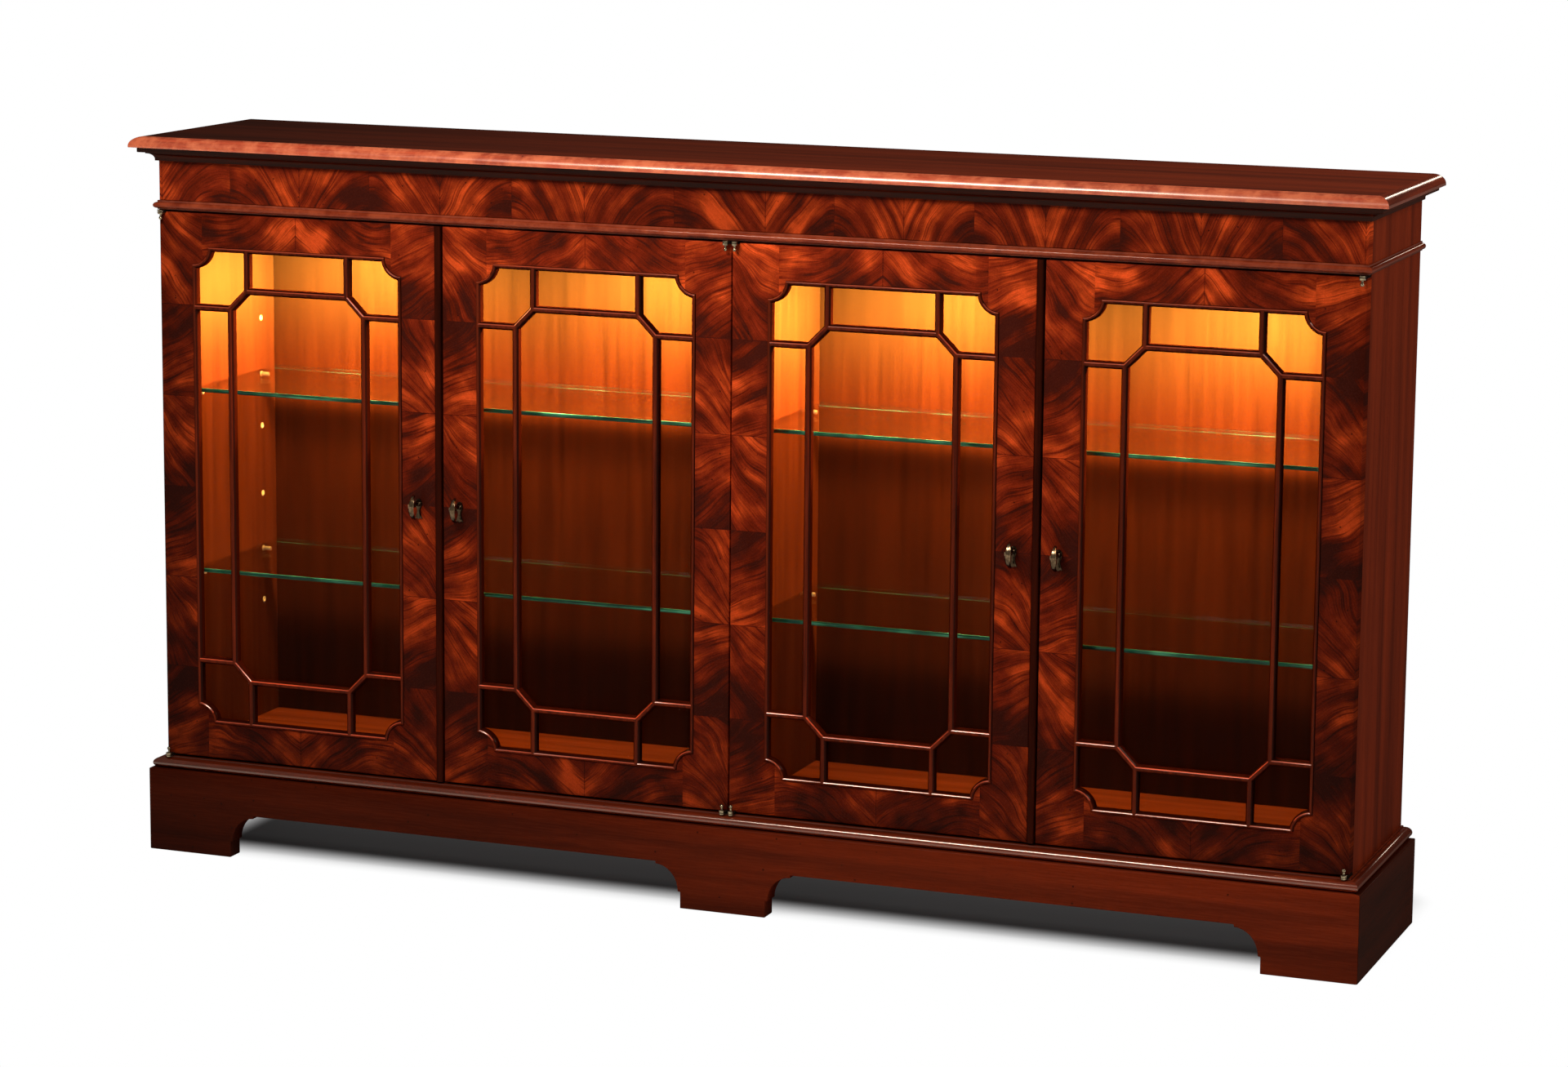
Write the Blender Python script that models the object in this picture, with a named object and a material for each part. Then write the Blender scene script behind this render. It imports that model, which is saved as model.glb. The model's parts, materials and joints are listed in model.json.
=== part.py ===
"""A low display cabinet: four glazed lattice doors, glass shelves, a moulded top and a bracket plinth.

Lengths are in metres. Depths are measured from the front face of the doors, towards the back.
The cabinet's empty then puts the middle of the whole depth at the origin.
"""

import math

import bmesh
import bpy
from mathutils import Matrix, Vector

# Gaps between pieces that touch, and how far a cutter runs past what it cuts
TOUCH_GAP = 0.0003
CUT_OVERRUN = 0.004

# Door leaves
LEAF_WIDTH = 0.423
LEAF_HEIGHT = 0.774
LEAF_THICKNESS = 0.0208
LEAF_SIDE_GAP = 0.002
LEAF_END_GAP = 0.003
LEAF_BACK_GAP = 0.0015
LEAF_EDGE_EASE = 0.0008

# Rounded bead on the meeting edge of doors one and three
MEETING_BEAD_WIDTH = 0.0097
MEETING_BEAD_RISE = 0.0035

# Stiles and rails of a leaf, and the curved corners of the glazed opening between them
STILE_WIDTH = 0.0505
TOP_RAIL_WIDTH = 0.047
FOOT_RAIL_WIDTH = 0.050
SCALLOP_RADIUS = 0.025
SCALLOP_STEPS = 8

# Lattice of glazing bars in the opening
BAR_WIDTH = 0.009
EDGE_BEAD_WIDTH = 0.006
LATTICE_SIDE_INSET = 0.058
LATTICE_TOP_INSET = 0.059
LATTICE_FOOT_INSET = 0.064
LATTICE_CORNER_CUT = 0.026
LATTICE_RISE = 0.001
LATTICE_CHAMFER_WIDTH = 0.0017
LATTICE_CHAMFER_DEPTH = 0.0024

# Glass pane and the groove that holds it
PANE_SETBACK = 0.010
PANE_THICKNESS = 0.004
GROOVE_DEPTH = 0.008
PANE_EDGE_PLAY = 0.001

# Case
SIDE_THICKNESS = 0.025
PARTITION_THICKNESS = 0.036
PARTITION_HOUSING = 0.003
CASE_DEPTH = 0.2727
BACK_PANEL_THICKNESS = 0.008
BACK_REBATE_DEPTH = 0.012
BACK_REBATE_WIDTH = 0.010
BOTTOM_PANEL_THICKNESS = 0.022
BOTTOM_PANEL_LIFT = 0.0057
CEILING_THICKNESS = 0.018
BOARD_EDGE_EASE = 0.0008

# Frieze, top board and mouldings
WAIST_HEIGHT = 0.0125
WAIST_OVERHANG = 0.007
WAIST_FILLET = 0.0021
WAIST_TOP_LAND = 0.0025
WAIST_FOOT_LAND = 0.0015
FRIEZE_HEIGHT = 0.0739
CORNICE_HEIGHT = 0.019
CORNICE_SHELF_OVERHANG = 0.022
CORNICE_SHELF_HEIGHT = 0.0067
COVE_TOP_OVERHANG = 0.0136
COVE_FOOT_OVERHANG = 0.004
COVE_TOP_LAND = 0.002
COVE_FOOT_LAND = 0.0018
COVE_STEPS = 5
TOP_THICKNESS = 0.015
TOP_FLAT_OVERHANG = 0.014
TOP_TIP_OVERHANG = 0.031
TOP_TIP_LAND = 0.002
TOP_ROUND_STEPS = 7
BASE_MOULDING_HEIGHT = 0.0157
BASE_MOULDING_OVERHANG = 0.016
BASE_QUIRK = 0.0032
BASE_NOSE_SETBACK = 0.0064
BASE_TOP_LAND = 0.0016
NOSE_STEPS = 7

# Plinth
PLINTH_HEIGHT = 0.118
PLINTH_OVERHANG = 0.020
PLINTH_THICKNESS = 0.028
PLINTH_CUT_HEIGHT = 0.0625
CORNER_FOOT_WIDTH = 0.129
CENTRE_FOOT_WIDTH = 0.124
BRACKET_FOOT_RISE = 0.023
BRACKET_NOTCH = 0.0035
BRACKET_RADIUS = 0.033
BRACKET_STEPS = 8

# Shelves and the pins that carry them
SHELF_THICKNESS = 0.0055
SHELF_TOP_HEIGHTS = (0.4016, 0.6594)
SHELF_FRONT_SETBACK = 0.035
SHELF_BACK_PLAY = 0.003
SHELF_END_PLAY = 0.0015
SHELF_EDGE_EASE = 0.0006
PIN_RADIUS = 0.0025
PIN_REACH = 0.012
PIN_ROOT = 0.009
PIN_SIDES = 12
PIN_FRONT_SETBACK = 0.0277
PIN_BACK_SETBACK = 0.040

# Lights under the ceiling of each bay
LIGHT_RADIUS = 0.030
LIGHT_HEIGHT = 0.011
LIGHT_LENS_RADIUS = 0.023
LIGHT_LENS_SINK = 0.0015
LIGHT_DEPTH = 0.130
LIGHT_SIDES = 32

# Pivot hinges
PIVOT_INSET = 0.0055
PIVOT_FORWARD = 0.007
HINGE_PLATE_THICKNESS = 0.0016
HINGE_PLATE_INNER = 0.0042
CASE_PLATE_REACH = 0.021
LEAF_PLATE_REACH = 0.018
KNUCKLE_RADIUS = 0.0042
KNUCKLE_RISE = 0.0006
KNUCKLE_HEIGHT = 0.0036
HINGE_PIN_RADIUS = 0.0015
HINGE_PIN_PLAY = 0.0003
HINGE_PIN_LENGTH = 0.0075
FINIAL_RADIUS = 0.0027
FINIAL_STEPS = 6
FINIAL_END_TURN = math.radians(72)
HINGE_SIDES = 16

# Door handles
HANDLE_EDGE_INSET = 0.025
HANDLE_HEIGHT = 0.390
PLATE_THICKNESS = 0.002
PLATE_HALF_WIDTH = 0.0055
PLATE_TOP = 0.0065
PLATE_FOOT = 0.022
BOSS_RADIUS = 0.0050
BOSS_REACH = 0.0045
POST_RADIUS = 0.0021
POST_SIDES = 16
DROP_PIVOT_FORWARD = 0.020
DROP_PIN_RADIUS = 0.0011
DROP_PIN_PLAY = 0.0003
DROP_PIN_LENGTH = 0.0094
LUG_WIDTH = 0.0017
LUG_PLAY = 0.0004
LUG_RADIUS = 0.0024
LUG_STEPS = 6
BOW_RADIUS = 0.018
BOW_CENTRE_BACK = 0.012
BOW_CENTRE_DROP = 0.003
BOW_TOP_ANGLE = math.radians(62)
BOW_FOOT_ANGLE = math.radians(-68)
BOW_STEPS = 12
BOW_THICKNESS = 0.003
BOW_MIDDLE_WIDTH = 0.008
BOW_END_WIDTH = 0.0045

# Half outline of the handle's plate from its top to its foot:
# shares of its half width, and of its top above or its foot below the pivot
PLATE_TOP_SHARES = ((0.0, 1.0), (0.45, 0.86), (0.78, 0.5), (0.86, 0.0))
PLATE_FOOT_SHARES = (
    (0.72, 0.2),
    (0.42, 0.38),
    (0.4, 0.55),
    (0.62, 0.75),
    (1.0, 0.97),
    (0.5, 0.92),
    (0.0, 1.0),
)

# Places that follow from the sizes above
CASE_HALF_WIDTH = 2 * LEAF_WIDTH + MEETING_BEAD_WIDTH + TOUCH_GAP + 1.5 * LEAF_SIDE_GAP
CASE_FRONT = LEAF_THICKNESS + LEAF_BACK_GAP
CASE_BACK = CASE_FRONT + CASE_DEPTH
BACK_PANEL_FRONT = CASE_BACK - BACK_REBATE_DEPTH
INNER_HALF_WIDTH = CASE_HALF_WIDTH - SIDE_THICKNESS
PARTITION_HALF = PARTITION_THICKNESS / 2

CASE_FOOT = PLINTH_HEIGHT + TOUCH_GAP
BASE_MOULDING_TOP = CASE_FOOT + BASE_MOULDING_HEIGHT
LEAF_FOOT = BASE_MOULDING_TOP + LEAF_END_GAP
LEAF_TOP = LEAF_FOOT + LEAF_HEIGHT
WAIST_FOOT = LEAF_TOP + LEAF_END_GAP
WAIST_TOP = WAIST_FOOT + WAIST_HEIGHT
FRIEZE_FOOT = WAIST_TOP + TOUCH_GAP
CASE_TOP = FRIEZE_FOOT + FRIEZE_HEIGHT
TOP_FOOT = CASE_TOP + TOUCH_GAP
CABINET_HEIGHT = TOP_FOOT + TOP_THICKNESS
FLOOR_FOOT = CASE_FOOT + BOTTOM_PANEL_LIFT
FLOOR_TOP = FLOOR_FOOT + BOTTOM_PANEL_THICKNESS
CEILING_FOOT = LEAF_TOP - CEILING_THICKNESS

OPENING_WIDTH = LEAF_WIDTH - 2 * STILE_WIDTH
OPENING_FOOT = LEAF_FOOT + FOOT_RAIL_WIDTH
OPENING_TOP = LEAF_TOP - TOP_RAIL_WIDTH
OPENING_HEIGHT = OPENING_TOP - OPENING_FOOT
GROOVE_FRONT = PANE_SETBACK
GROOVE_BACK = PANE_SETBACK + PANE_THICKNESS + 2 * TOUCH_GAP
LATTICE_BACK = PANE_SETBACK

MIDDLE_DEPTH = (CASE_BACK - TOP_TIP_OVERHANG) / 2

# Doors from left to right: the side that the hinges are on, and whether it has a meeting bead
LEFT, RIGHT = -1, 1
DOOR_HINGE_SIDES = (LEFT, RIGHT, LEFT, RIGHT)
DOORS_WITH_BEAD = (0, 2)

# Colours: red, green, blue, then roughness, metallic and alpha
FINISHES = {
    "flame_mahogany": ((0.27, 0.052, 0.016), 0.28, 0.0, 1.0),
    "plain_mahogany": ((0.20, 0.044, 0.018), 0.32, 0.0, 1.0),
    "dark_mahogany": ((0.065, 0.017, 0.011), 0.36, 0.0, 1.0),
    "lattice_mahogany": ((0.10, 0.026, 0.018), 0.30, 0.0, 1.0),
    "inner_mahogany": ((0.42, 0.13, 0.03), 0.40, 0.0, 1.0),
    "clear_glass": ((0.86, 0.93, 0.90), 0.04, 0.0, 0.30),
    "antique_brass": ((0.42, 0.31, 0.15), 0.35, 1.0, 1.0),
    "light_trim": ((0.62, 0.60, 0.55), 0.40, 1.0, 1.0),
}


def clear_scene():
    """Removes whatever the opened file holds."""
    for leftover in list(bpy.data.objects):
        bpy.data.objects.remove(leftover)


def finish_material(name, finish):
    """A material of its own for one piece, in one of the finishes above."""
    colour, roughness, metallic, alpha = FINISHES[finish]
    made = bpy.data.materials.new(name)
    made.use_nodes = True
    shader = made.node_tree.nodes["Principled BSDF"]
    shader.inputs["Base Color"].default_value = (*colour, 1.0)
    shader.inputs["Roughness"].default_value = roughness
    shader.inputs["Metallic"].default_value = metallic
    shader.inputs["Alpha"].default_value = alpha
    return made


def empty_at(name, place, parent=None, parent_place=(0, 0, 0)):
    """An empty that pieces hang from, at a place in the cabinet's own frame."""
    made = bpy.data.objects.new(name, None)
    made.location = Vector(place) - Vector(parent_place)
    made.parent = parent
    bpy.context.scene.collection.objects.link(made)
    return made


class Holder:
    """An empty and its place in the cabinet's frame, so that pieces can be hung from it."""

    def __init__(self, name, place, inside=None):
        self.place = Vector(place)
        if inside is None:
            self.empty = empty_at(name, place)
        else:
            self.empty = empty_at(name, place, inside.empty, inside.place)


def put(name, mesh, finish, place, holder):
    """Places a mesh, modelled round its own origin, at a place in the cabinet's frame."""
    made = bpy.data.objects.new(name, mesh)
    made.parent = holder.empty
    made.location = Vector(place) - holder.place
    bpy.context.scene.collection.objects.link(made)
    if finish:
        mesh.materials.append(finish_material(name, finish))
    return made


def as_mesh(shape, name, smooth=False):
    """Turns a closed bmesh into a mesh whose faces point out."""
    bmesh.ops.recalc_face_normals(shape, faces=shape.faces)
    mesh = bpy.data.meshes.new(name)
    shape.to_mesh(mesh)
    shape.free()
    if smooth:
        mesh.shade_smooth()
        mesh.set_sharp_from_angle(angle=math.radians(35))
    return mesh


def lofted(name, loops, smooth=False):
    """A solid through loops of equally many points, closed flat at both ends."""
    shape = bmesh.new()
    rings = [[shape.verts.new(point) for point in loop] for loop in loops]
    for near, far in zip(rings, rings[1:]):
        for i, start in enumerate(near):
            j = (i + 1) % len(near)
            shape.faces.new((start, near[j], far[j], far[i]))
    shape.faces.new(rings[0])
    shape.faces.new(rings[-1])
    return as_mesh(shape, name, smooth)


def box_mesh(name, size):
    """A box of that size round its own centre."""
    shape = bmesh.new()
    bmesh.ops.create_cube(shape, size=1.0)
    bmesh.ops.transform(shape, matrix=Matrix.Diagonal((*size, 1.0)), verts=shape.verts)
    return as_mesh(shape, name)


def board(name, low, high, finish, holder, ease=0.0):
    """A board between two corners, with its edges eased where that is asked for."""
    low, high = Vector(low), Vector(high)
    made = put(name, box_mesh(name, high - low), finish, (low + high) / 2, holder)
    if ease:
        rounding = made.modifiers.new("eased_edges", "BEVEL")
        rounding.width = ease
        rounding.segments = 2
    return made


def disc(radius, sides, centre, axis):
    """Points of a circle across the X, Y or Z axis, round a centre."""
    points = []
    for i in range(sides):
        turn = math.tau * (i + 0.5) / sides
        flat = (radius * math.cos(turn), radius * math.sin(turn))
        place = list(flat)
        place.insert("XYZ".index(axis), 0)
        points.append(Vector(centre) + Vector(place))
    return points


def turned(name, profile, sides, axis, smooth=True):
    """A turned solid: pairs of radius and distance along its axis."""
    loops = []
    for radius, along in profile:
        centre = [0, 0, 0]
        centre["XYZ".index(axis)] = along
        loops.append(disc(radius, sides, centre, axis))
    return lofted(name, loops, smooth)


def combine(piece, tools, operation):
    """Cuts the tools out of a piece, or joins them to it. The tools stay as hidden guides."""
    for tool in tools:
        tool.hide_render = True
        tool.display_type = "WIRE"
        step = piece.modifiers.new(tool.name, "BOOLEAN")
        step.operation = operation
        step.solver = "EXACT"
        step.object = tool


def arc_points(centre, radius, start, end, steps):
    """Points along an arc, both ends among them."""
    span = end - start
    angles = [start + span * i / steps for i in range(steps + 1)]
    return [(centre[0] + radius * math.cos(a), centre[1] + radius * math.sin(a)) for a in angles]


def moulding_mesh(name, profile, back, smooth=True):
    """A moulding round the front and both sides, mitred at the front corners.

    Each profile point gives its overhang at the sides, its overhang at the front and its height.
    """
    sections = []
    for side, at_front in ((LEFT, False), (LEFT, True), (RIGHT, True), (RIGHT, False)):
        section = []
        for side_overhang, front_overhang, height in profile:
            across = side * (CASE_HALF_WIDTH + side_overhang)
            section.append((across, -front_overhang if at_front else back, height))
        sections.append(section)
    return lofted(name, sections, smooth)


def around(profile):
    """Profile points whose overhang is the same at the sides and at the front."""
    return [(overhang, overhang, height) for overhang, height in profile]


def nose_points(near, far, low, high):
    """A rounded nose from its top to its foot, as overhang and height."""
    points = []
    for i in range(NOSE_STEPS + 1):
        turn = math.pi / 2 - math.pi * i / NOSE_STEPS
        height = (low + high) / 2 + (high - low) / 2 * math.sin(turn)
        points.append((near + (far - near) * math.cos(turn), height))
    return points


def offset_loop(points, distances):
    """Moves each edge of a loop inwards by its own distance and meets the edges again.

    The loop runs anticlockwise, and distance i belongs to the edge that starts at point i.
    """
    count = len(points)
    lines = []
    for i in range(count):
        start = Vector(points[i])
        along = (Vector(points[(i + 1) % count]) - start).normalized()
        inward = Vector((-along.y, along.x))
        lines.append((start + inward * distances[i], along))
    moved = []
    for i in range(count):
        (a, u), (b, v) = lines[i - 1], lines[i]
        turn = u.x * v.y - u.y * v.x
        gap = b - a
        share = (gap.x * v.y - gap.y * v.x) / turn
        moved.append(tuple(a + u * share))
    return moved


def opening_outline(grow=0.0):
    """The opening's outline: a rectangle whose corners curve inwards, grown by a clearance."""
    half = OPENING_WIDTH / 2 + grow
    low, high = -OPENING_HEIGHT / 2 - grow, OPENING_HEIGHT / 2 + grow
    quarter = math.pi / 2
    corners = (
        ((half, low), math.pi, quarter),
        ((half, high), -quarter, -math.pi),
        ((-half, high), 0.0, -quarter),
        ((-half, low), quarter, 0.0),
    )
    outline = []
    for corner, start, end in corners:
        outline += arc_points(corner, SCALLOP_RADIUS, start, end, SCALLOP_STEPS)
    return outline


def upright_prism(name, outline, front, back):
    """A solid whose outline lies in the door's plane, from a front depth to a back depth."""
    loops = [[(x, depth, z) for x, z in outline] for depth in (front, back)]
    return lofted(name, loops)


def leaf_centres():
    """Where each leaf's middle lies across the cabinet."""
    outer = CASE_HALF_WIDTH - LEAF_WIDTH / 2
    inner = LEAF_SIDE_GAP / 2 + LEAF_WIDTH / 2
    return (-outer, -inner, inner, outer)


def pane_loops():
    """The nine gaps of the lattice: each one's centre line outline, with a width for each edge."""
    half_bar = BAR_WIDTH / 2
    side = OPENING_WIDTH / 2
    outer = side - LATTICE_SIDE_INSET
    inner = outer - LATTICE_CORNER_CUT
    top, foot = OPENING_HEIGHT / 2, -OPENING_HEIGHT / 2
    rail_top, rail_foot = top - LATTICE_TOP_INSET, foot + LATTICE_FOOT_INSET
    post_top, post_foot = rail_top - LATTICE_CORNER_CUT, rail_foot + LATTICE_CORNER_CUT
    octagon = [
        (inner, rail_foot),
        (outer, post_foot),
        (outer, post_top),
        (inner, rail_top),
        (-inner, rail_top),
        (-outer, post_top),
        (-outer, post_foot),
        (-inner, rail_foot),
    ]
    loops = [(octagon, [half_bar] * len(octagon))]
    for end, rail in ((top, rail_top), (foot, rail_foot)):
        middle = [(-inner, rail), (inner, rail), (inner, end), (-inner, end)]
        loops.append((middle, [half_bar, half_bar, EDGE_BEAD_WIDTH, half_bar]))
    for hand in (LEFT, RIGHT):
        flank = [
            (hand * outer, post_foot),
            (hand * side, post_foot),
            (hand * side, post_top),
            (hand * outer, post_top),
        ]
        loops.append((flank, [half_bar, EDGE_BEAD_WIDTH, half_bar, half_bar]))
        for end, rail, post, up in ((top, rail_top, post_top, 1), (foot, rail_foot, post_foot, -1)):
            scallop = arc_points(
                (0, 0), SCALLOP_RADIUS, -math.pi / 2, -math.pi, SCALLOP_STEPS
            )
            bent = [(hand * (side + x), end + up * z) for x, z in scallop]
            corner = [(hand * inner, rail), (hand * outer, post), (hand * side, post), *bent]
            corner.append((hand * inner, end))
            widths = [half_bar, half_bar, *[EDGE_BEAD_WIDTH] * (len(bent) + 1), half_bar]
            loops.append((corner, widths))
    return [anticlockwise(points, widths) for points, widths in loops]


def anticlockwise(points, widths):
    """Turns a loop round, with its edges' widths, if it runs clockwise."""
    count = len(points)
    area = sum(
        points[i][0] * points[(i + 1) % count][1] - points[(i + 1) % count][0] * points[i][1]
        for i in range(count)
    )
    if area > 0:
        return points, widths
    return points[::-1], widths[-2::-1] + widths[-1:]


def pane_cutters_mesh(name):
    """One mesh with nine tools that cut the gaps and chamfer the lattice's front edges."""
    shape = bmesh.new()
    front = -LATTICE_RISE
    levels = (
        (front - CUT_OVERRUN, -LATTICE_CHAMFER_WIDTH),
        (front, -LATTICE_CHAMFER_WIDTH),
        (front + LATTICE_CHAMFER_DEPTH, 0),
        (LATTICE_BACK + CUT_OVERRUN, 0),
    )
    for points, widths in pane_loops():
        rings = []
        for depth, change in levels:
            loop = offset_loop(points, [width + change for width in widths])
            rings.append([shape.verts.new((x, depth, z)) for x, z in loop])
        for near, far in zip(rings, rings[1:]):
            for i, start in enumerate(near):
                j = (i + 1) % len(near)
                shape.faces.new((start, near[j], far[j], far[i]))
        shape.faces.new(rings[0])
        shape.faces.new(rings[-1])
    return as_mesh(shape, name)


def build_case(cabinet):
    """The sides, partition, floor, ceiling, back panel and frieze."""
    for name, side in (("side_left", LEFT), ("side_right", RIGHT)):
        across = sorted((side * CASE_HALF_WIDTH, side * INNER_HALF_WIDTH))
        made = board(
            name,
            (across[0], CASE_FRONT, CASE_FOOT),
            (across[1], CASE_BACK, CASE_TOP),
            "plain_mahogany",
            cabinet,
            BOARD_EDGE_EASE,
        )
        shoulder = sorted(
            (side * (INNER_HALF_WIDTH - CUT_OVERRUN), side * (INNER_HALF_WIDTH + BACK_REBATE_WIDTH))
        )
        rebate = board(
            name + "_rebate_cutter",
            (shoulder[0], BACK_PANEL_FRONT, CASE_FOOT - CUT_OVERRUN),
            (shoulder[1], CASE_BACK + CUT_OVERRUN, CASE_TOP + CUT_OVERRUN),
            None,
            cabinet,
        )
        combine(made, [rebate], "DIFFERENCE")
        combine(made, [shelf_pins(name + "_pins", INNER_HALF_WIDTH * side, -side, cabinet)], "UNION")

    between = INNER_HALF_WIDTH - TOUCH_GAP
    floor = board(
        "bottom_panel",
        (-between, CASE_FRONT, FLOOR_FOOT),
        (between, BACK_PANEL_FRONT, FLOOR_TOP),
        "inner_mahogany",
        cabinet,
    )
    housing_half = PARTITION_HALF + TOUCH_GAP
    housing = board(
        "partition_housing_cutter",
        (-housing_half, CASE_FRONT - CUT_OVERRUN, FLOOR_TOP - PARTITION_HOUSING),
        (housing_half, BACK_PANEL_FRONT + CUT_OVERRUN, FLOOR_TOP + CUT_OVERRUN),
        None,
        cabinet,
    )
    combine(floor, [housing], "DIFFERENCE")
    board(
        "ceiling_panel",
        (-between, CASE_FRONT, CEILING_FOOT),
        (between, BACK_PANEL_FRONT, LEAF_TOP),
        "inner_mahogany",
        cabinet,
    )
    partition = board(
        "centre_partition",
        (-PARTITION_HALF, CASE_FRONT, FLOOR_TOP - PARTITION_HOUSING + TOUCH_GAP),
        (PARTITION_HALF, BACK_PANEL_FRONT, CEILING_FOOT - TOUCH_GAP),
        "inner_mahogany",
        cabinet,
    )
    for hand, side in (("left", LEFT), ("right", RIGHT)):
        pins = shelf_pins("partition_pins_" + hand, PARTITION_HALF * side, side, cabinet)
        combine(partition, [pins], "UNION")

    panel_half = INNER_HALF_WIDTH + BACK_REBATE_WIDTH - TOUCH_GAP
    panel_front = BACK_PANEL_FRONT + TOUCH_GAP
    board(
        "back_panel",
        (-panel_half, panel_front, CASE_FOOT + TOUCH_GAP),
        (panel_half, panel_front + BACK_PANEL_THICKNESS, CASE_TOP - TOUCH_GAP),
        "inner_mahogany",
        cabinet,
    )
    board(
        "frieze_board",
        (-CASE_HALF_WIDTH, 0, FRIEZE_FOOT),
        (CASE_HALF_WIDTH, CASE_FRONT - TOUCH_GAP, CASE_TOP),
        "flame_mahogany",
        cabinet,
        BOARD_EDGE_EASE,
    )


def shelf_pins(name, face, outward, holder):
    """Four pins that stick out of an upright face, two under each shelf, in one joined tool."""
    shape = bmesh.new()
    reach = sorted((face - outward * PIN_ROOT, face + outward * PIN_REACH))
    for shelf_top in SHELF_TOP_HEIGHTS:
        height = shelf_top - SHELF_THICKNESS - TOUCH_GAP - PIN_RADIUS
        for depth in (CASE_FRONT + PIN_FRONT_SETBACK, BACK_PANEL_FRONT - PIN_BACK_SETBACK):
            ends = [disc(PIN_RADIUS, PIN_SIDES, (x, depth, height), "X") for x in reach]
            rings = [[shape.verts.new(point) for point in end] for end in ends]
            for i in range(PIN_SIDES):
                j = (i + 1) % PIN_SIDES
                shape.faces.new((rings[0][i], rings[0][j], rings[1][j], rings[1][i]))
            shape.faces.new(rings[0])
            shape.faces.new(rings[1])
    return put(name, as_mesh(shape, name), None, (0, 0, 0), holder)


def build_shelves(cabinet):
    """Two glass shelves in each bay, lying on the pins."""
    near = PARTITION_HALF + SHELF_END_PLAY
    far = INNER_HALF_WIDTH - SHELF_END_PLAY
    for bay, ends in (("left", (-far, -near)), ("right", (near, far))):
        for level, shelf_top in zip(("lower", "upper"), SHELF_TOP_HEIGHTS):
            board(
                "shelf_" + bay + "_" + level,
                (ends[0], SHELF_FRONT_SETBACK, shelf_top - SHELF_THICKNESS),
                (ends[1], BACK_PANEL_FRONT - SHELF_BACK_PLAY, shelf_top),
                "clear_glass",
                cabinet,
                SHELF_EDGE_EASE,
            )


def build_top(cabinet):
    """The moulded top board and the cornice moulding under it."""
    round_height = TOP_THICKNESS - TOP_TIP_LAND
    round_reach = TOP_TIP_OVERHANG - TOP_FLAT_OVERHANG
    levels = [(TOP_TIP_OVERHANG, TOP_FOOT)]
    for i in range(TOP_ROUND_STEPS + 1):
        turn = math.pi / 2 * i / TOP_ROUND_STEPS
        overhang = TOP_FLAT_OVERHANG + round_reach * math.cos(turn)
        levels.append((overhang, TOP_FOOT + TOP_TIP_LAND + round_height * math.sin(turn)))
    loops = []
    for overhang, height in levels:
        half = CASE_HALF_WIDTH + overhang
        loops.append(
            [
                (-half, -overhang, height),
                (half, -overhang, height),
                (half, CASE_BACK, height),
                (-half, CASE_BACK, height),
            ]
        )
    mesh = lofted("top_board", loops, smooth=True)
    put("top_board", mesh, "plain_mahogany", (0, 0, 0), cabinet)

    cornice_foot = CASE_TOP - CORNICE_HEIGHT
    cove_top = CASE_TOP - CORNICE_SHELF_HEIGHT - COVE_TOP_LAND
    cove_foot = cornice_foot + COVE_FOOT_LAND
    profile = [
        (TOUCH_GAP, CASE_TOP),
        (CORNICE_SHELF_OVERHANG, CASE_TOP),
        (CORNICE_SHELF_OVERHANG, CASE_TOP - CORNICE_SHELF_HEIGHT),
        (COVE_TOP_OVERHANG, CASE_TOP - CORNICE_SHELF_HEIGHT),
    ]
    for i in range(COVE_STEPS + 1):
        turn = math.pi / 2 * i / COVE_STEPS
        overhang = COVE_TOP_OVERHANG - (COVE_TOP_OVERHANG - COVE_FOOT_OVERHANG) * math.sin(turn)
        profile.append((overhang, cove_foot + (cove_top - cove_foot) * math.cos(turn)))
    profile += [(COVE_FOOT_OVERHANG, cornice_foot), (TOUCH_GAP, cornice_foot)]
    mesh = moulding_mesh("cornice_moulding", around(profile), CASE_BACK)
    put("cornice_moulding", mesh, "dark_mahogany", (0, 0, 0), cabinet)


def build_waist(cabinet):
    """The bead between the frieze and the doors. Its front length runs back under the frieze."""
    behind = -(CASE_FRONT - TOUCH_GAP)
    profile = [(TOUCH_GAP, behind, WAIST_TOP), (WAIST_FILLET, WAIST_FILLET, WAIST_TOP)]
    bead = (WAIST_FOOT + WAIST_FOOT_LAND, WAIST_TOP - WAIST_TOP_LAND)
    profile += around(nose_points(WAIST_FILLET, WAIST_OVERHANG, *bead))
    profile += [(WAIST_FILLET, WAIST_FILLET, WAIST_FOOT), (TOUCH_GAP, behind, WAIST_FOOT)]
    mesh = moulding_mesh("waist_moulding", profile, CASE_BACK)
    put("waist_moulding", mesh, "flame_mahogany", (0, 0, 0), cabinet)


def build_base(cabinet):
    """The rounded base moulding. Its front length runs back under the doors."""
    behind = -(CASE_FRONT - TOUCH_GAP)
    profile = [(TOUCH_GAP, behind, BASE_MOULDING_TOP), (BASE_QUIRK, BASE_QUIRK, BASE_MOULDING_TOP)]
    nose = (CASE_FOOT, BASE_MOULDING_TOP - BASE_TOP_LAND)
    profile += around(nose_points(BASE_NOSE_SETBACK, BASE_MOULDING_OVERHANG, *nose))
    profile.append((TOUCH_GAP, behind, CASE_FOOT))
    mesh = moulding_mesh("base_moulding", profile, CASE_BACK)
    put("base_moulding", mesh, "dark_mahogany", (0, 0, 0), cabinet)


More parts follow.
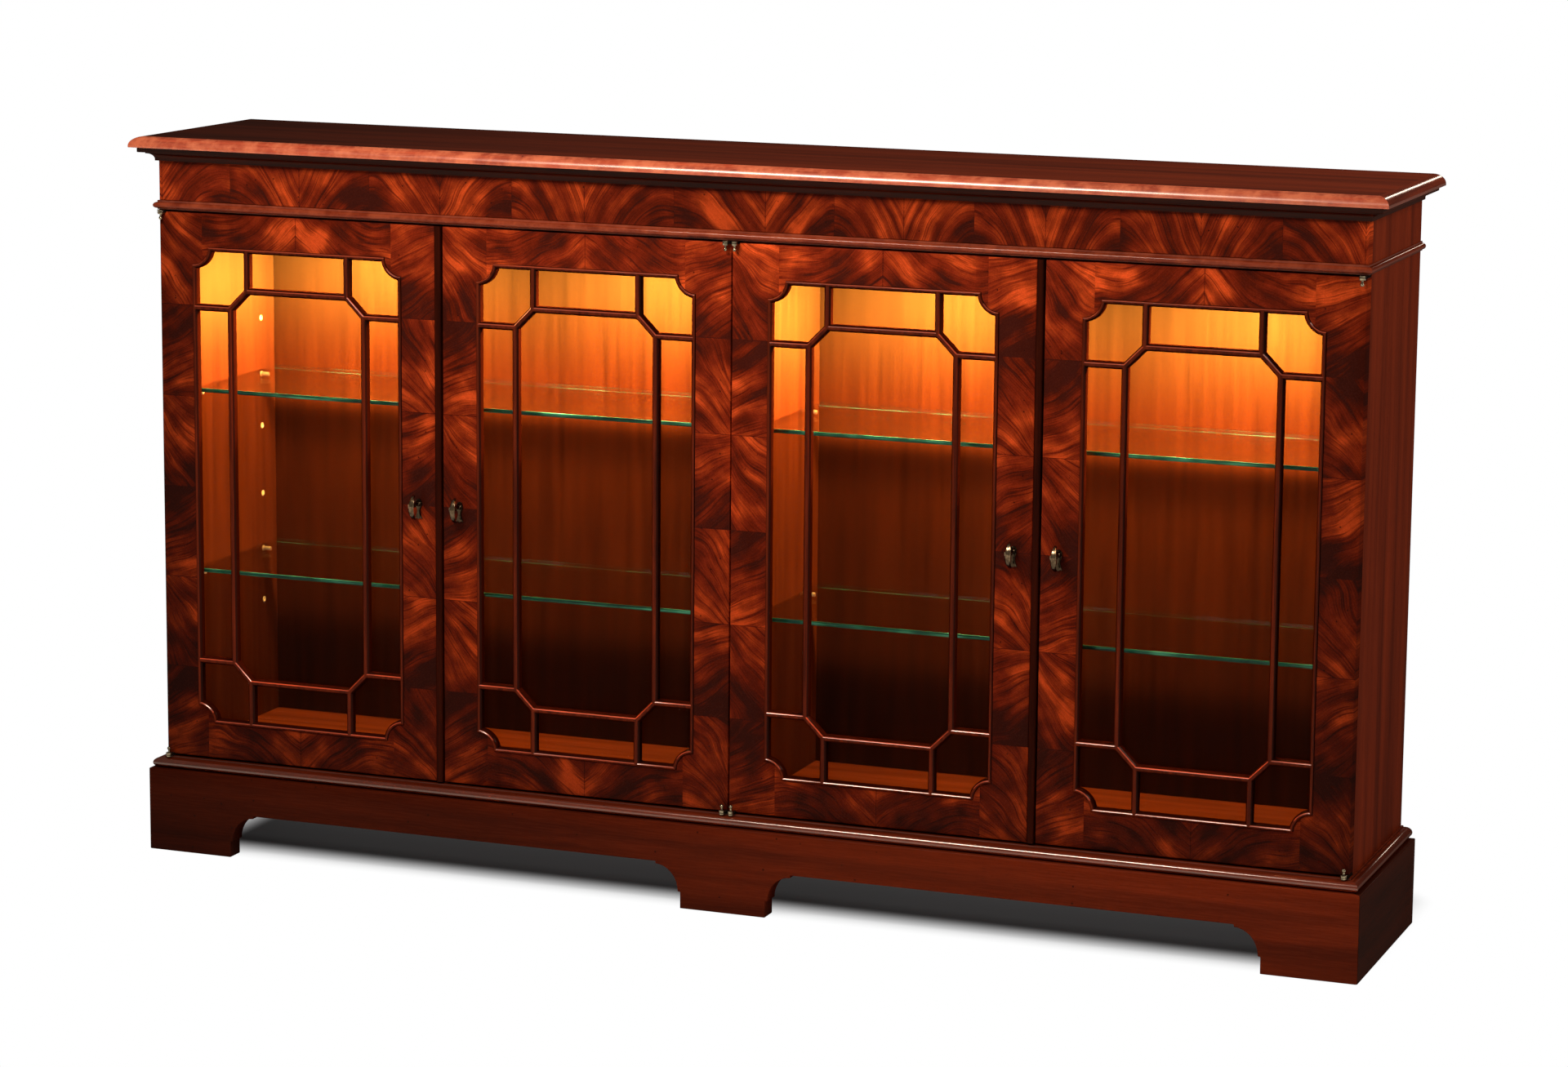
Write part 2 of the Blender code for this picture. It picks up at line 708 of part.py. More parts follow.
def bracket_cut(start, end):
    """The outline of the cut between two feet, from the foot at start to the foot at end."""
    toward = 1 if end > start else -1
    shoulder = start + toward * BRACKET_NOTCH
    curve_end = shoulder + toward * BRACKET_RADIUS
    points = [(start, 0), (start, BRACKET_FOOT_RISE), (shoulder, BRACKET_FOOT_RISE)]
    rise = PLINTH_CUT_HEIGHT - BRACKET_NOTCH - BRACKET_FOOT_RISE
    for i in range(1, BRACKET_STEPS + 1):
        turn = math.pi / 2 * i / BRACKET_STEPS
        across = shoulder + toward * BRACKET_RADIUS * (1 - math.cos(turn))
        points.append((across, BRACKET_FOOT_RISE + rise * math.sin(turn)))
    points.append((curve_end, PLINTH_CUT_HEIGHT))
    return points


def build_plinth(cabinet):
    """The front board with its three bracket feet, and the two side boards, mitred to it."""
    outer = CASE_HALF_WIDTH + PLINTH_OVERHANG
    inner = outer - PLINTH_THICKNESS
    front, back = -PLINTH_OVERHANG, PLINTH_THICKNESS - PLINTH_OVERHANG
    foot_edge = outer - CORNER_FOOT_WIDTH
    centre_edge = CENTRE_FOOT_WIDTH / 2
    right_half = bracket_cut(centre_edge, foot_edge) + bracket_cut(foot_edge, centre_edge)[::-1]
    left_half = [(-x, z) for x, z in reversed(right_half)]
    loops = []
    for depth, end in ((front, outer), (back, inner)):
        outline = [(-end, 0), *left_half, *right_half, (end, 0)]
        outline += [(end, PLINTH_HEIGHT), (-end, PLINTH_HEIGHT)]
        loops.append([(x, depth, z) for x, z in outline])
    mesh = lofted("plinth_front", loops)
    put("plinth_front", mesh, "dark_mahogany", (0, 0, 0), cabinet)

    mitre_gap = TOUCH_GAP * math.sqrt(2)
    for name, side in (("plinth_left", LEFT), ("plinth_right", RIGHT)):
        plan = [
            (side * outer, front + mitre_gap),
            (side * inner, back + mitre_gap),
            (side * inner, CASE_BACK),
            (side * outer, CASE_BACK),
        ]
        loops = [[(x, y, height) for x, y in plan] for height in (0, PLINTH_HEIGHT)]
        put(name, lofted(name, loops), "dark_mahogany", (0, 0, 0), cabinet)


def build_lights(cabinet):
    """A low round light under the ceiling behind the middle of each door."""
    lens_edge = -LIGHT_HEIGHT
    profile = [
        (LIGHT_RADIUS, 0),
        (LIGHT_RADIUS, lens_edge + LIGHT_LENS_SINK),
        (LIGHT_RADIUS - LIGHT_LENS_SINK, lens_edge),
        (LIGHT_LENS_RADIUS, lens_edge),
        (LIGHT_LENS_RADIUS - LIGHT_LENS_SINK, lens_edge + LIGHT_LENS_SINK),
    ]
    for number, across in enumerate(leaf_centres(), 1):
        name = "light_" + str(number)
        mesh = turned(name, profile, LIGHT_SIDES, "Z")
        put(name, mesh, "light_trim", (across, LIGHT_DEPTH, CEILING_FOOT - TOUCH_GAP), cabinet)


def build_leaf(name, door, centre, hinge_side):
    """One door leaf: the frame, the lattice in its opening and the glass in its groove."""
    half = LEAF_WIDTH / 2
    frame = board(
        name + "_frame",
        (centre - half, 0, LEAF_FOOT),
        (centre + half, LEAF_THICKNESS, LEAF_TOP),
        "flame_mahogany",
        door,
        LEAF_EDGE_EASE,
    )
    middle = (centre, 0, (OPENING_FOOT + OPENING_TOP) / 2)
    opening_mesh = upright_prism(
        name + "_opening_cutter", opening_outline(), -CUT_OVERRUN, LEAF_THICKNESS + CUT_OVERRUN
    )
    opening = put(name + "_opening_cutter", opening_mesh, None, middle, door)
    groove_half = OPENING_WIDTH / 2 + GROOVE_DEPTH
    groove = board(
        name + "_groove_cutter",
        (centre - groove_half, GROOVE_FRONT, OPENING_FOOT - GROOVE_DEPTH),
        (centre + groove_half, GROOVE_BACK, OPENING_TOP + GROOVE_DEPTH),
        None,
        door,
    )
    combine(frame, [opening, groove], "DIFFERENCE")

    edge = centre + hinge_side * half
    pocket = sorted((edge + hinge_side * CUT_OVERRUN, plate_inner_edge(edge, hinge_side, TOUCH_GAP)))
    pocket_depth = HINGE_PLATE_THICKNESS + TOUCH_GAP
    for end, low, high in (
        ("top", LEAF_TOP - pocket_depth, LEAF_TOP + CUT_OVERRUN),
        ("foot", LEAF_FOOT - CUT_OVERRUN, LEAF_FOOT + pocket_depth),
    ):
        cutter = board(
            name + "_" + end + "_pocket_cutter",
            (pocket[0], -CUT_OVERRUN, low),
            (pocket[1], LEAF_PLATE_REACH + TOUCH_GAP, high),
            None,
            door,
        )
        combine(frame, [cutter], "DIFFERENCE")

    lattice_mesh = upright_prism(
        name + "_lattice", opening_outline(-TOUCH_GAP), -LATTICE_RISE, LATTICE_BACK
    )
    lattice = put(name + "_lattice", lattice_mesh, "lattice_mahogany", middle, door)
    gaps = pane_cutters_mesh(name + "_gap_cutters")
    combine(lattice, [put(name + "_gap_cutters", gaps, None, middle, door)], "DIFFERENCE")

    pane_half = groove_half - PANE_EDGE_PLAY
    pane_edge = GROOVE_DEPTH - PANE_EDGE_PLAY
    board(
        name + "_glass",
        (centre - pane_half, GROOVE_FRONT + TOUCH_GAP, OPENING_FOOT - pane_edge),
        (centre + pane_half, GROOVE_BACK - TOUCH_GAP, OPENING_TOP + pane_edge),
        "clear_glass",
        door,
    )


def build_meeting_bead(name, door, edge):
    """The rounded strip on a leaf's meeting edge, which starts at that edge."""
    start = edge + TOUCH_GAP
    middle = start + MEETING_BEAD_WIDTH / 2
    half = MEETING_BEAD_WIDTH / 2
    nose = [
        (middle + half * math.cos(turn), -MEETING_BEAD_RISE * math.sin(turn))
        for turn in [math.pi * i / NOSE_STEPS for i in range(NOSE_STEPS + 1)]
    ]
    plan = nose + [(start, LEAF_THICKNESS), (start + MEETING_BEAD_WIDTH, LEAF_THICKNESS)]
    place = (middle, 0, (LEAF_FOOT + LEAF_TOP) / 2)
    half_height = LEAF_HEIGHT / 2
    loops = [[(x - middle, y, z) for x, y in plan] for z in (-half_height, half_height)]
    put(name, lofted(name, loops), "flame_mahogany", place, door)


def plate_inner_edge(edge, hinge_side, clearance=0.0):
    """How far a hinge's plates reach in from the leaf's edge."""
    return edge - hinge_side * (PIVOT_INSET + HINGE_PLATE_INNER + clearance)


def build_hinge(name, cabinet, door, edge, hinge_side, up):
    """One pivot hinge at the top (up is 1) or the foot (up is -1) of a leaf.

    The case's plate carries the pin. The leaf's plate is let into the leaf and ends in a knuckle.
    """
    pivot = edge - hinge_side * PIVOT_INSET
    leaf_end = LEAF_TOP if up > 0 else LEAF_FOOT
    case_face = WAIST_FOOT if up > 0 else BASE_MOULDING_TOP
    plate_near = leaf_end - up * HINGE_PLATE_THICKNESS
    across = sorted((edge, plate_inner_edge(edge, hinge_side)))
    levels = sorted((plate_near, leaf_end))
    leaf_plate = board(
        name + "_leaf",
        (across[0], -PIVOT_FORWARD, levels[0]),
        (across[1], LEAF_PLATE_REACH, levels[1]),
        "antique_brass",
        door,
    )
    knuckle_end = leaf_end + up * KNUCKLE_RISE
    knuckle = turned(
        name + "_knuckle_tool",
        [(KNUCKLE_RADIUS, 0), (KNUCKLE_RADIUS, -up * KNUCKLE_HEIGHT)],
        HINGE_SIDES,
        "Z",
    )
    at_pivot = (pivot, -PIVOT_FORWARD, knuckle_end)
    combine(leaf_plate, [put(name + "_knuckle_tool", knuckle, None, at_pivot, door)], "UNION")
    bore_radius = HINGE_PIN_RADIUS + HINGE_PIN_PLAY
    bore = turned(
        name + "_bore_cutter",
        [(bore_radius, up * CUT_OVERRUN), (bore_radius, -up * (KNUCKLE_HEIGHT + CUT_OVERRUN))],
        HINGE_SIDES,
        "Z",
    )
    combine(leaf_plate, [put(name + "_bore_cutter", bore, None, at_pivot, door)], "DIFFERENCE")

    far_face = case_face - up * TOUCH_GAP
    near_face = far_face - up * HINGE_PLATE_THICKNESS
    levels = sorted((near_face, far_face))
    case_plate = board(
        name + "_case",
        (across[0], -PIVOT_FORWARD, levels[0]),
        (across[1], CASE_PLATE_REACH, levels[1]),
        "antique_brass",
        cabinet,
    )
    cap_mesh = turned(
        name + "_cap_tool",
        [(KNUCKLE_RADIUS, 0), (KNUCKLE_RADIUS, up * HINGE_PLATE_THICKNESS)],
        HINGE_SIDES,
        "Z",
    )
    cap = put(name + "_cap_tool", cap_mesh, None, (pivot, -PIVOT_FORWARD, near_face), cabinet)
    neck_turn = math.acos(HINGE_PIN_RADIUS / FINIAL_RADIUS)
    finial_middle = HINGE_PIN_LENGTH + FINIAL_RADIUS * math.sin(neck_turn)
    pin = [(HINGE_PIN_RADIUS, up * HINGE_PLATE_THICKNESS / 2)]
    for i in range(FINIAL_STEPS + 1):
        turn = neck_turn - (neck_turn + FINIAL_END_TURN) * i / FINIAL_STEPS
        along = finial_middle - FINIAL_RADIUS * math.sin(turn)
        pin.append((FINIAL_RADIUS * math.cos(turn), -up * along))
    stem_mesh = turned(name + "_pin_tool", pin, HINGE_SIDES, "Z")
    stem = put(name + "_pin_tool", stem_mesh, None, (pivot, -PIVOT_FORWARD, near_face), cabinet)
    combine(case_plate, [cap, stem], "UNION")


def plate_outline():
    """The handle's plate: its half outline on both sides of its middle."""
    half = [(w * PLATE_HALF_WIDTH, h * PLATE_TOP) for w, h in PLATE_TOP_SHARES]
    half += [(w * PLATE_HALF_WIDTH, -h * PLATE_FOOT) for w, h in PLATE_FOOT_SHARES]
    return half + [(-x, z) for x, z in reversed(half[1:-1])]


def build_handle(name, door, drop, pivot):
    """A cast plate with a post and a cross pin, and the bow shaped drop that hangs on the pin."""
    back = PLATE_THICKNESS + TOUCH_GAP
    mesh = upright_prism(name + "_plate", plate_outline(), -back, -TOUCH_GAP)
    on_leaf = (pivot[0], 0, pivot[2])
    plate = put(name + "_plate", mesh, "antique_brass", on_leaf, door)
    profile = [
        (POST_RADIUS, -DROP_PIVOT_FORWARD - POST_RADIUS),
        (POST_RADIUS, -back - BOSS_REACH),
        (BOSS_RADIUS * math.cos(math.pi / 4), -back - BOSS_REACH * math.sin(math.pi / 4)),
        (BOSS_RADIUS, -PLATE_THICKNESS / 2),
    ]
    post_mesh = turned(name + "_post_tool", profile, POST_SIDES, "Y")
    post = put(name + "_post_tool", post_mesh, None, on_leaf, door)
    pin_half = DROP_PIN_LENGTH / 2
    pin_mesh = turned(
        name + "_pin_tool",
        [(DROP_PIN_RADIUS, -pin_half), (DROP_PIN_RADIUS, pin_half)],
        POST_SIDES,
        "X",
    )
    combine(plate, [post, put(name + "_pin_tool", pin_mesh, None, pivot, door)], "UNION")

    bow = put(name + "_drop", bow_mesh(name + "_drop"), "antique_brass", pivot, drop)
    lug_start = POST_RADIUS + LUG_PLAY
    bow_back = BOW_CENTRE_BACK - BOW_RADIUS
    bores = []
    for hand, side in (("left", LEFT), ("right", RIGHT)):
        ends = sorted((side * lug_start, side * (lug_start + LUG_WIDTH)))
        plan = [(0, -LUG_RADIUS), (bow_back, -LUG_RADIUS), (bow_back, LUG_RADIUS)]
        plan += arc_points((0, 0), LUG_RADIUS, math.pi / 2, -math.pi / 2, LUG_STEPS)[:-1]
        loops = [[(x, y, z) for y, z in plan] for x in ends]
        lug = put(name + "_lug_" + hand, lofted(name + "_lug", loops), None, pivot, drop)
        combine(bow, [lug], "UNION")
        bore_radius = DROP_PIN_RADIUS + DROP_PIN_PLAY
        bore_ends = [ends[0] - LUG_PLAY / 2, ends[1] + CUT_OVERRUN]
        if side == LEFT:
            bore_ends = [ends[0] - CUT_OVERRUN, ends[1] + LUG_PLAY / 2]
        bore_mesh = turned(
            name + "_bore", [(bore_radius, end) for end in bore_ends], POST_SIDES, "X"
        )
        bores.append(put(name + "_lug_bore_" + hand, bore_mesh, None, pivot, drop))
    combine(bow, bores, "DIFFERENCE")


def bow_mesh(name):
    """A bow in the plane across the door, widest at its middle, round the drop's pivot."""
    loops = []
    for i in range(BOW_STEPS + 1):
        share = i / BOW_STEPS
        turn = BOW_FOOT_ANGLE + (BOW_TOP_ANGLE - BOW_FOOT_ANGLE) * share
        swell = math.sin(math.pi * share)
        half_width = (BOW_END_WIDTH + (BOW_MIDDLE_WIDTH - BOW_END_WIDTH) * swell) / 2
        half_depth = BOW_THICKNESS / 2
        section = []
        for across, outward in (
            (-half_width, 0),
            (-half_width / 2, -half_depth),
            (half_width / 2, -half_depth),
            (half_width, 0),
            (half_width / 2, half_depth),
            (-half_width / 2, half_depth),
        ):
            reach = BOW_RADIUS + outward
            depth = BOW_CENTRE_BACK - reach * math.cos(turn)
            section.append((across, depth, -BOW_CENTRE_DROP + reach * math.sin(turn)))
        loops.append(section)
    return lofted(name, loops)


def build_doors(cabinet):
    """The four leaves with their beads, hinges and handles. Each door's empty is on its pivot."""
    middle_height = (LEAF_FOOT + LEAF_TOP) / 2
    for index, (centre, hinge_side) in enumerate(zip(leaf_centres(), DOOR_HINGE_SIDES)):
        name = "door_" + str(index + 1)
        edge = centre + hinge_side * LEAF_WIDTH / 2
        free_edge = centre - hinge_side * LEAF_WIDTH / 2
        pivot = (edge - hinge_side * PIVOT_INSET, -PIVOT_FORWARD, middle_height)
        door = Holder(name + "_swing", pivot, cabinet)
        build_leaf(name, door, centre, hinge_side)
        if index in DOORS_WITH_BEAD:
            build_meeting_bead(name + "_meeting_bead", door, free_edge)
        for end, up in (("top", 1), ("foot", -1)):
            build_hinge(name + "_hinge_" + end, cabinet, door, edge, hinge_side, up)
        handle_pivot = (
            free_edge + hinge_side * HANDLE_EDGE_INSET,
            -DROP_PIVOT_FORWARD,
            LEAF_FOOT + HANDLE_HEIGHT,
        )
        drop = Holder(name + "_drop_swing", handle_pivot, door)
        build_handle(name + "_handle", door, drop, handle_pivot)


def main():
    clear_scene()
    cabinet = Holder("cabinet", (0, 0, 0))
    cabinet.empty.location = (0, -MIDDLE_DEPTH, 0)
    build_case(cabinet)
    build_shelves(cabinet)
    build_top(cabinet)
    build_waist(cabinet)
    build_base(cabinet)
    build_plinth(cabinet)
    build_lights(cabinet)
    build_doors(cabinet)
    print("Cabinet width", 2 * (CASE_HALF_WIDTH + TOP_TIP_OVERHANG), "height", CABINET_HEIGHT)


main()
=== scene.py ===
import json
import math

import bmesh
import bpy
from mathutils import Matrix, Vector

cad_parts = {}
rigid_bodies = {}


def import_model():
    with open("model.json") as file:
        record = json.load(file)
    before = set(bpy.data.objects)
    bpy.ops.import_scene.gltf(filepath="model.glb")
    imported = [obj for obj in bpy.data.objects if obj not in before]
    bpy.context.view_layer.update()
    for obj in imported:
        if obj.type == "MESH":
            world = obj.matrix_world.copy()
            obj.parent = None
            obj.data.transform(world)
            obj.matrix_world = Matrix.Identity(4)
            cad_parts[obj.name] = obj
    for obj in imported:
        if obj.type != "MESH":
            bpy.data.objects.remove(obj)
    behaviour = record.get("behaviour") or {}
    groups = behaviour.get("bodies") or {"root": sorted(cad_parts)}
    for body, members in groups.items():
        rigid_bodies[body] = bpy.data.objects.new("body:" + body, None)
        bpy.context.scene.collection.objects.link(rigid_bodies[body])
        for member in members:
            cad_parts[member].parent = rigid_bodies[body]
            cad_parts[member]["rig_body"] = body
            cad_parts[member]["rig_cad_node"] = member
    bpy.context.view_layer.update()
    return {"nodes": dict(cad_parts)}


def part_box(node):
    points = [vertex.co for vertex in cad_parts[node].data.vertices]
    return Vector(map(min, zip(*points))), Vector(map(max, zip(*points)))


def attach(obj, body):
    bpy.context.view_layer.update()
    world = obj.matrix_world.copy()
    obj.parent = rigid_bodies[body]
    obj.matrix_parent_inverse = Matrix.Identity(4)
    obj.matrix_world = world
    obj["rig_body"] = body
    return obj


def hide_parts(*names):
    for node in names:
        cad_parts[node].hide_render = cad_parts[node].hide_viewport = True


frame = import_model()

bl_info = {
    "name": "Display cabinet",
    "version": (1, 0, 0),
    "blender": (4, 5, 0),
    "location": "View3D > Sidebar > Cabinet",
    "description": "A mahogany display cabinet with four glazed lattice doors, dressed on its fixed frame",
    "category": "Object",
}

# Places read from the frame, in metres
SIDE_LOW, SIDE_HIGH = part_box("side_right")
CASE_HALF = SIDE_HIGH.x
CASE_BACK = SIDE_HIGH.y
CASE_FRONT = SIDE_LOW.y
FRIEZE_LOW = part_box("frieze_board")[0]
DOOR_FACE = FRIEZE_LOW.y
BACK_LOW, BACK_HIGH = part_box("back_panel")
LEAF_LOW, LEAF_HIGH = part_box("door_1_frame")
LEAF_HALF = (LEAF_HIGH.x - LEAF_LOW.x) / 2
BAR_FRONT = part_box("door_1_lattice")[0].y
SHELF_LOW, SHELF_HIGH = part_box("shelf_left_lower")
SHELF_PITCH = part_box("shelf_left_upper")[0].z - SHELF_LOW.z
DROP_LOW, DROP_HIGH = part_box("door_1_handle_drop")
DOORS = (1, 2, 3, 4)
DOOR_CENTRES = {n: sum(corner.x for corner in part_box(f"door_{n}_frame")) / 2 for n in DOORS}

# Sizes that no box gives, in metres and radians
SIDE_BOARD = 0.025
INNER_HALF = CASE_HALF - SIDE_BOARD
PARTITION_HALF = 0.018
GAP = 0.0003
MERGE_WITHIN = 0.00001
FLAT_WITHIN = math.radians(0.6)


# Settings that someone reusing the cabinet would change

class CABINET_PG_timber(bpy.types.PropertyGroup):
    """Colours and gloss of the timber."""

    flame_bright: bpy.props.FloatVectorProperty(
        name="Flame streaks", description="Brightest streaks of the flame veneer",
        subtype="COLOR", size=3, default=(0.43, 0.047, 0.0080), min=0, max=1)
    flame_mid: bpy.props.FloatVectorProperty(
        name="Flame body", description="Body colour of the flame veneer",
        subtype="COLOR", size=3, default=(0.118, 0.0100, 0.0026), min=0, max=1)
    flame_dark: bpy.props.FloatVectorProperty(
        name="Flame shadow", description="Darkest parts of the flame veneer",
        subtype="COLOR", size=3, default=(0.031, 0.0041, 0.0020), min=0, max=1)
    plain_light: bpy.props.FloatVectorProperty(
        name="Plain light", description="Light ribbons of the straight-grained mahogany",
        subtype="COLOR", size=3, default=(0.115, 0.0135, 0.0034), min=0, max=1)
    plain_dark: bpy.props.FloatVectorProperty(
        name="Plain dark", description="Dark ribbons of the straight-grained mahogany",
        subtype="COLOR", size=3, default=(0.048, 0.0058, 0.0019), min=0, max=1)
    lining_light: bpy.props.FloatVectorProperty(
        name="Lining light", description="Light grain of the boards inside",
        subtype="COLOR", size=3, default=(0.036, 0.0062, 0.0010), min=0, max=1)
    lining_dark: bpy.props.FloatVectorProperty(
        name="Lining dark", description="Dark grain of the boards inside",
        subtype="COLOR", size=3, default=(0.020, 0.0034, 0.0006), min=0, max=1)
    # Painted light: a pale, yellow copy of the lining, drawn near the ceiling where the lamps' light pools
    lining_painted_lamp_pool: bpy.props.FloatVectorProperty(
        name="Lining under the lamps", description="The boards inside where the lamps have bleached them",
        subtype="COLOR", size=3, default=(0.060, 0.0285, 0.0062), min=0, max=1)
    gloss: bpy.props.FloatProperty(
        name="Lacquer roughness", description="Roughness of the lacquer on flat boards",
        subtype="FACTOR", default=0.24, min=0, max=1)


class CABINET_PG_sizes(bpy.types.PropertyGroup):
    """Sizes of the mouldings and fittings that the frame leaves plain."""

    arris: bpy.props.FloatProperty(
        name="Worn arris", description="How far sharp edges of the boards are worn round",
        subtype="DISTANCE", unit="LENGTH", default=0.0012, min=0.0002, max=0.003)
    bar_arris: bpy.props.FloatProperty(
        name="Bar rounding", description="Rounding of the glazing bars",
        subtype="DISTANCE", unit="LENGTH", default=0.0007, min=0.0002, max=0.0015)
    metal_arris: bpy.props.FloatProperty(
        name="Metal rounding", description="Rounding of the hinge and handle castings",
        subtype="DISTANCE", unit="LENGTH", default=0.00035, min=0.0001, max=0.001)
    socket_radius: bpy.props.FloatProperty(
        name="Socket radius", description="Outer radius of the brass sockets for the shelf pins",
        subtype="DISTANCE", unit="LENGTH", default=0.0042, min=0.003, max=0.006)


class CABINET_PG_light(bpy.types.PropertyGroup):
    """The cabinet's own lamps and the studio round it."""

    shelf_lamps: bpy.props.FloatProperty(
        name="Cabinet lamps", description="Power of each lamp under the ceiling",
        unit="POWER", default=34.0, min=0, max=100)
    lamp_colour: bpy.props.FloatVectorProperty(
        name="Lamp colour", description="Colour of the lamps under the ceiling",
        subtype="COLOR", size=3, default=(1.0, 0.64, 0.27), min=0, max=1)
    key: bpy.props.FloatProperty(
        name="Key light", description="Power of the narrow light above and in front",
        unit="POWER", default=34.0, min=0, max=2000)
    fill: bpy.props.FloatProperty(
        name="Fill light", description="Power of the large light at the right",
        unit="POWER", default=10.5, min=0, max=2000)
    edge: bpy.props.FloatProperty(
        name="Edge light",
        description="Power of the small light behind, which draws the edges on the right",
        unit="POWER", default=12.0, min=0, max=2000)
    surround: bpy.props.FloatProperty(
        name="Surround", description="Strength of the even light from all round",
        default=0.20, min=0, max=2)


# Modelling helpers

def choose(*pieces):
    """Selects these objects and nothing else, and makes the first one active."""
    if bpy.context.mode != "OBJECT":
        bpy.ops.object.mode_set(mode="OBJECT")
    bpy.ops.object.select_all(action="DESELECT")
    for piece in pieces:
        piece.select_set(True)
    bpy.context.view_layer.objects.active = pieces[0]


def edit(piece, what="FACE", picked="DESELECT"):
    """Opens a piece in edit mode with nothing selected, or with everything."""
    choose(piece)
    bpy.ops.object.mode_set(mode="EDIT")
    bpy.ops.mesh.select_mode(type=what)
    bpy.ops.mesh.select_all(action=picked)


def pick_faces(piece, wanted):
    """Selects the faces that a test picks by their place or normal."""
    shape = bmesh.from_edit_mesh(piece.data)
    for face in shape.faces:
        face.select_set(bool(wanted(face)))
    shape.select_flush_mode()
    bmesh.update_edit_mesh(piece.data)


def pick_edges(piece, wanted):
    """Selects the edges that a test picks by their place or direction."""
    shape = bmesh.from_edit_mesh(piece.data)
    for edge in shape.edges:
        edge.select_set(bool(wanted(edge)))
    bmesh.update_edit_mesh(piece.data)


def newly_made(name):
    """The object that the last operator made, under its own name."""
    made = bpy.context.active_object
    made.name = name
    return made


def settle(piece):
    """Puts the place, turn and size of a piece into its mesh."""
    choose(piece)
    bpy.ops.object.transform_apply(location=True, rotation=True, scale=True)


def face_outwards(piece):
    """Turns every face of a closed piece outwards."""
    edit(piece, picked="SELECT")
    bpy.ops.mesh.normals_make_consistent(inside=False)
    bpy.ops.object.mode_set(mode="OBJECT")


def block(name, low, high):
    """A block between two corners, as a start for a piece or as a cutter."""
    low, high = Vector(low), Vector(high)
    bpy.ops.mesh.primitive_cube_add(size=1, location=(low + high) / 2)
    made = newly_made(name)
    made.scale = high - low
    settle(made)
    return made


def cut(piece, cutter):
    """Cuts one closed shape out of a piece, and removes the cutter."""
    choose(piece)
    step = piece.modifiers.new("cut", "BOOLEAN")
    step.operation = "DIFFERENCE"
    step.solver = "EXACT"
    step.object = cutter
    bpy.ops.object.modifier_apply(modifier=step.name)
    bpy.data.objects.remove(cutter)


def soften(piece, width, segments, above, worn_slot=None):
    """Rounds the edges of a piece that turn by more than an angle in degrees, and applies it."""
    choose(piece)
    step = piece.modifiers.new("worn_edges", "BEVEL")
    step.width = width
    step.segments = segments
    step.limit_method = "ANGLE"
    step.angle_limit = math.radians(above)
    step.use_clamp_overlap = True
    if worn_slot is not None:
        step.material = worn_slot
    bpy.ops.object.modifier_apply(modifier=step.name)


def merged_copy(node):
    """A copy of a frame node, merged, with its flats cleaned up."""
    choose(frame["nodes"][node])
    bpy.ops.object.duplicate(linked=False)
    made = newly_made(node + "_dressed")
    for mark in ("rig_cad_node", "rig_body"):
        del made[mark]
    bpy.ops.object.parent_clear(type="CLEAR_KEEP_TRANSFORM")
    made.data.materials.clear()
    edit(made, picked="SELECT")
    bpy.ops.mesh.remove_doubles(threshold=MERGE_WITHIN)
    bpy.ops.mesh.dissolve_limited(angle_limit=FLAT_WITHIN)
    bpy.ops.mesh.normals_make_consistent(inside=False)
    bpy.ops.object.mode_set(mode="OBJECT")
    return made


def rounded_copy(node, width, segments, above, worn_slot=None):
    """A merged copy of a frame node with its edges worn round."""
    made = merged_copy(node)
    soften(made, width, segments, above, worn_slot)
    return made


def drawn_block(name, levels):
    """A block drawn up from a plane through levels of overhang and height.

    The overhang is the same at the front and both sides, and the back stays flat.
    """
    def spread(overhang):
        return 2 * (CASE_HALF + overhang), CASE_BACK - (DOOR_FACE - overhang)

    overhang, height = levels[0]
    width, depth = spread(overhang)
    bpy.ops.mesh.primitive_plane_add(size=1, location=(0, CASE_BACK - depth / 2, height))
    made = newly_made(name)
    made.scale = (width, depth, 1)
    settle(made)
    edit(made, picked="SELECT")
    for overhang, next_height in levels[1:]:
        rise = (0, 0, next_height - height)
        bpy.ops.mesh.extrude_region_move(TRANSFORM_OT_translate={"value": rise})
        next_width, next_depth = spread(overhang)
        growth = (next_width / width, next_depth / depth, 1)
        bpy.ops.transform.resize(value=growth, center_override=(0, CASE_BACK, next_height))
        width, depth, height = next_width, next_depth, next_height
    bpy.ops.object.mode_set(mode="OBJECT")
    face_outwards(made)
    return made


def turned(name, place, along, profile, sides):
    """A turned piece: a disc drawn out along a direction through pairs of radius and distance."""
    place, along = Vector(place), Vector(along).normalized()
    radius, reach = profile[0]
    tilt = Vector((0, 0, 1)).rotation_difference(along).to_euler()
    bpy.ops.mesh.primitive_circle_add(
        vertices=sides, radius=radius, fill_type="NGON", location=place + along * reach, rotation=tilt)
    made = newly_made(name)
    settle(made)
    edit(made, picked="SELECT")
    for next_radius, next_reach in profile[1:]:
        step = along * (next_reach - reach)
        bpy.ops.mesh.extrude_region_move(TRANSFORM_OT_translate={"value": step})
        share = next_radius / radius
        bpy.ops.transform.resize(
            value=(share, share, share), center_override=place + along * next_reach)
        radius, reach = next_radius, next_reach
    bpy.ops.object.mode_set(mode="OBJECT")
    face_outwards(made)
    return made


def own_copy(piece, name, shift, hand):
    """A copy with its own mesh, moved. A hand of -1 makes it point to the left."""
    choose(piece)
    bpy.ops.object.duplicate(linked=False)
    made = newly_made(name)
    made.scale = (hand, 1, 1)
    made.location = shift
    settle(made)
    if hand < 0:
        face_outwards(made)
    return made


def joined(name, *pieces):
    """Several shapes as one piece."""
    choose(*pieces)
    bpy.ops.object.join()
    return newly_made(name)


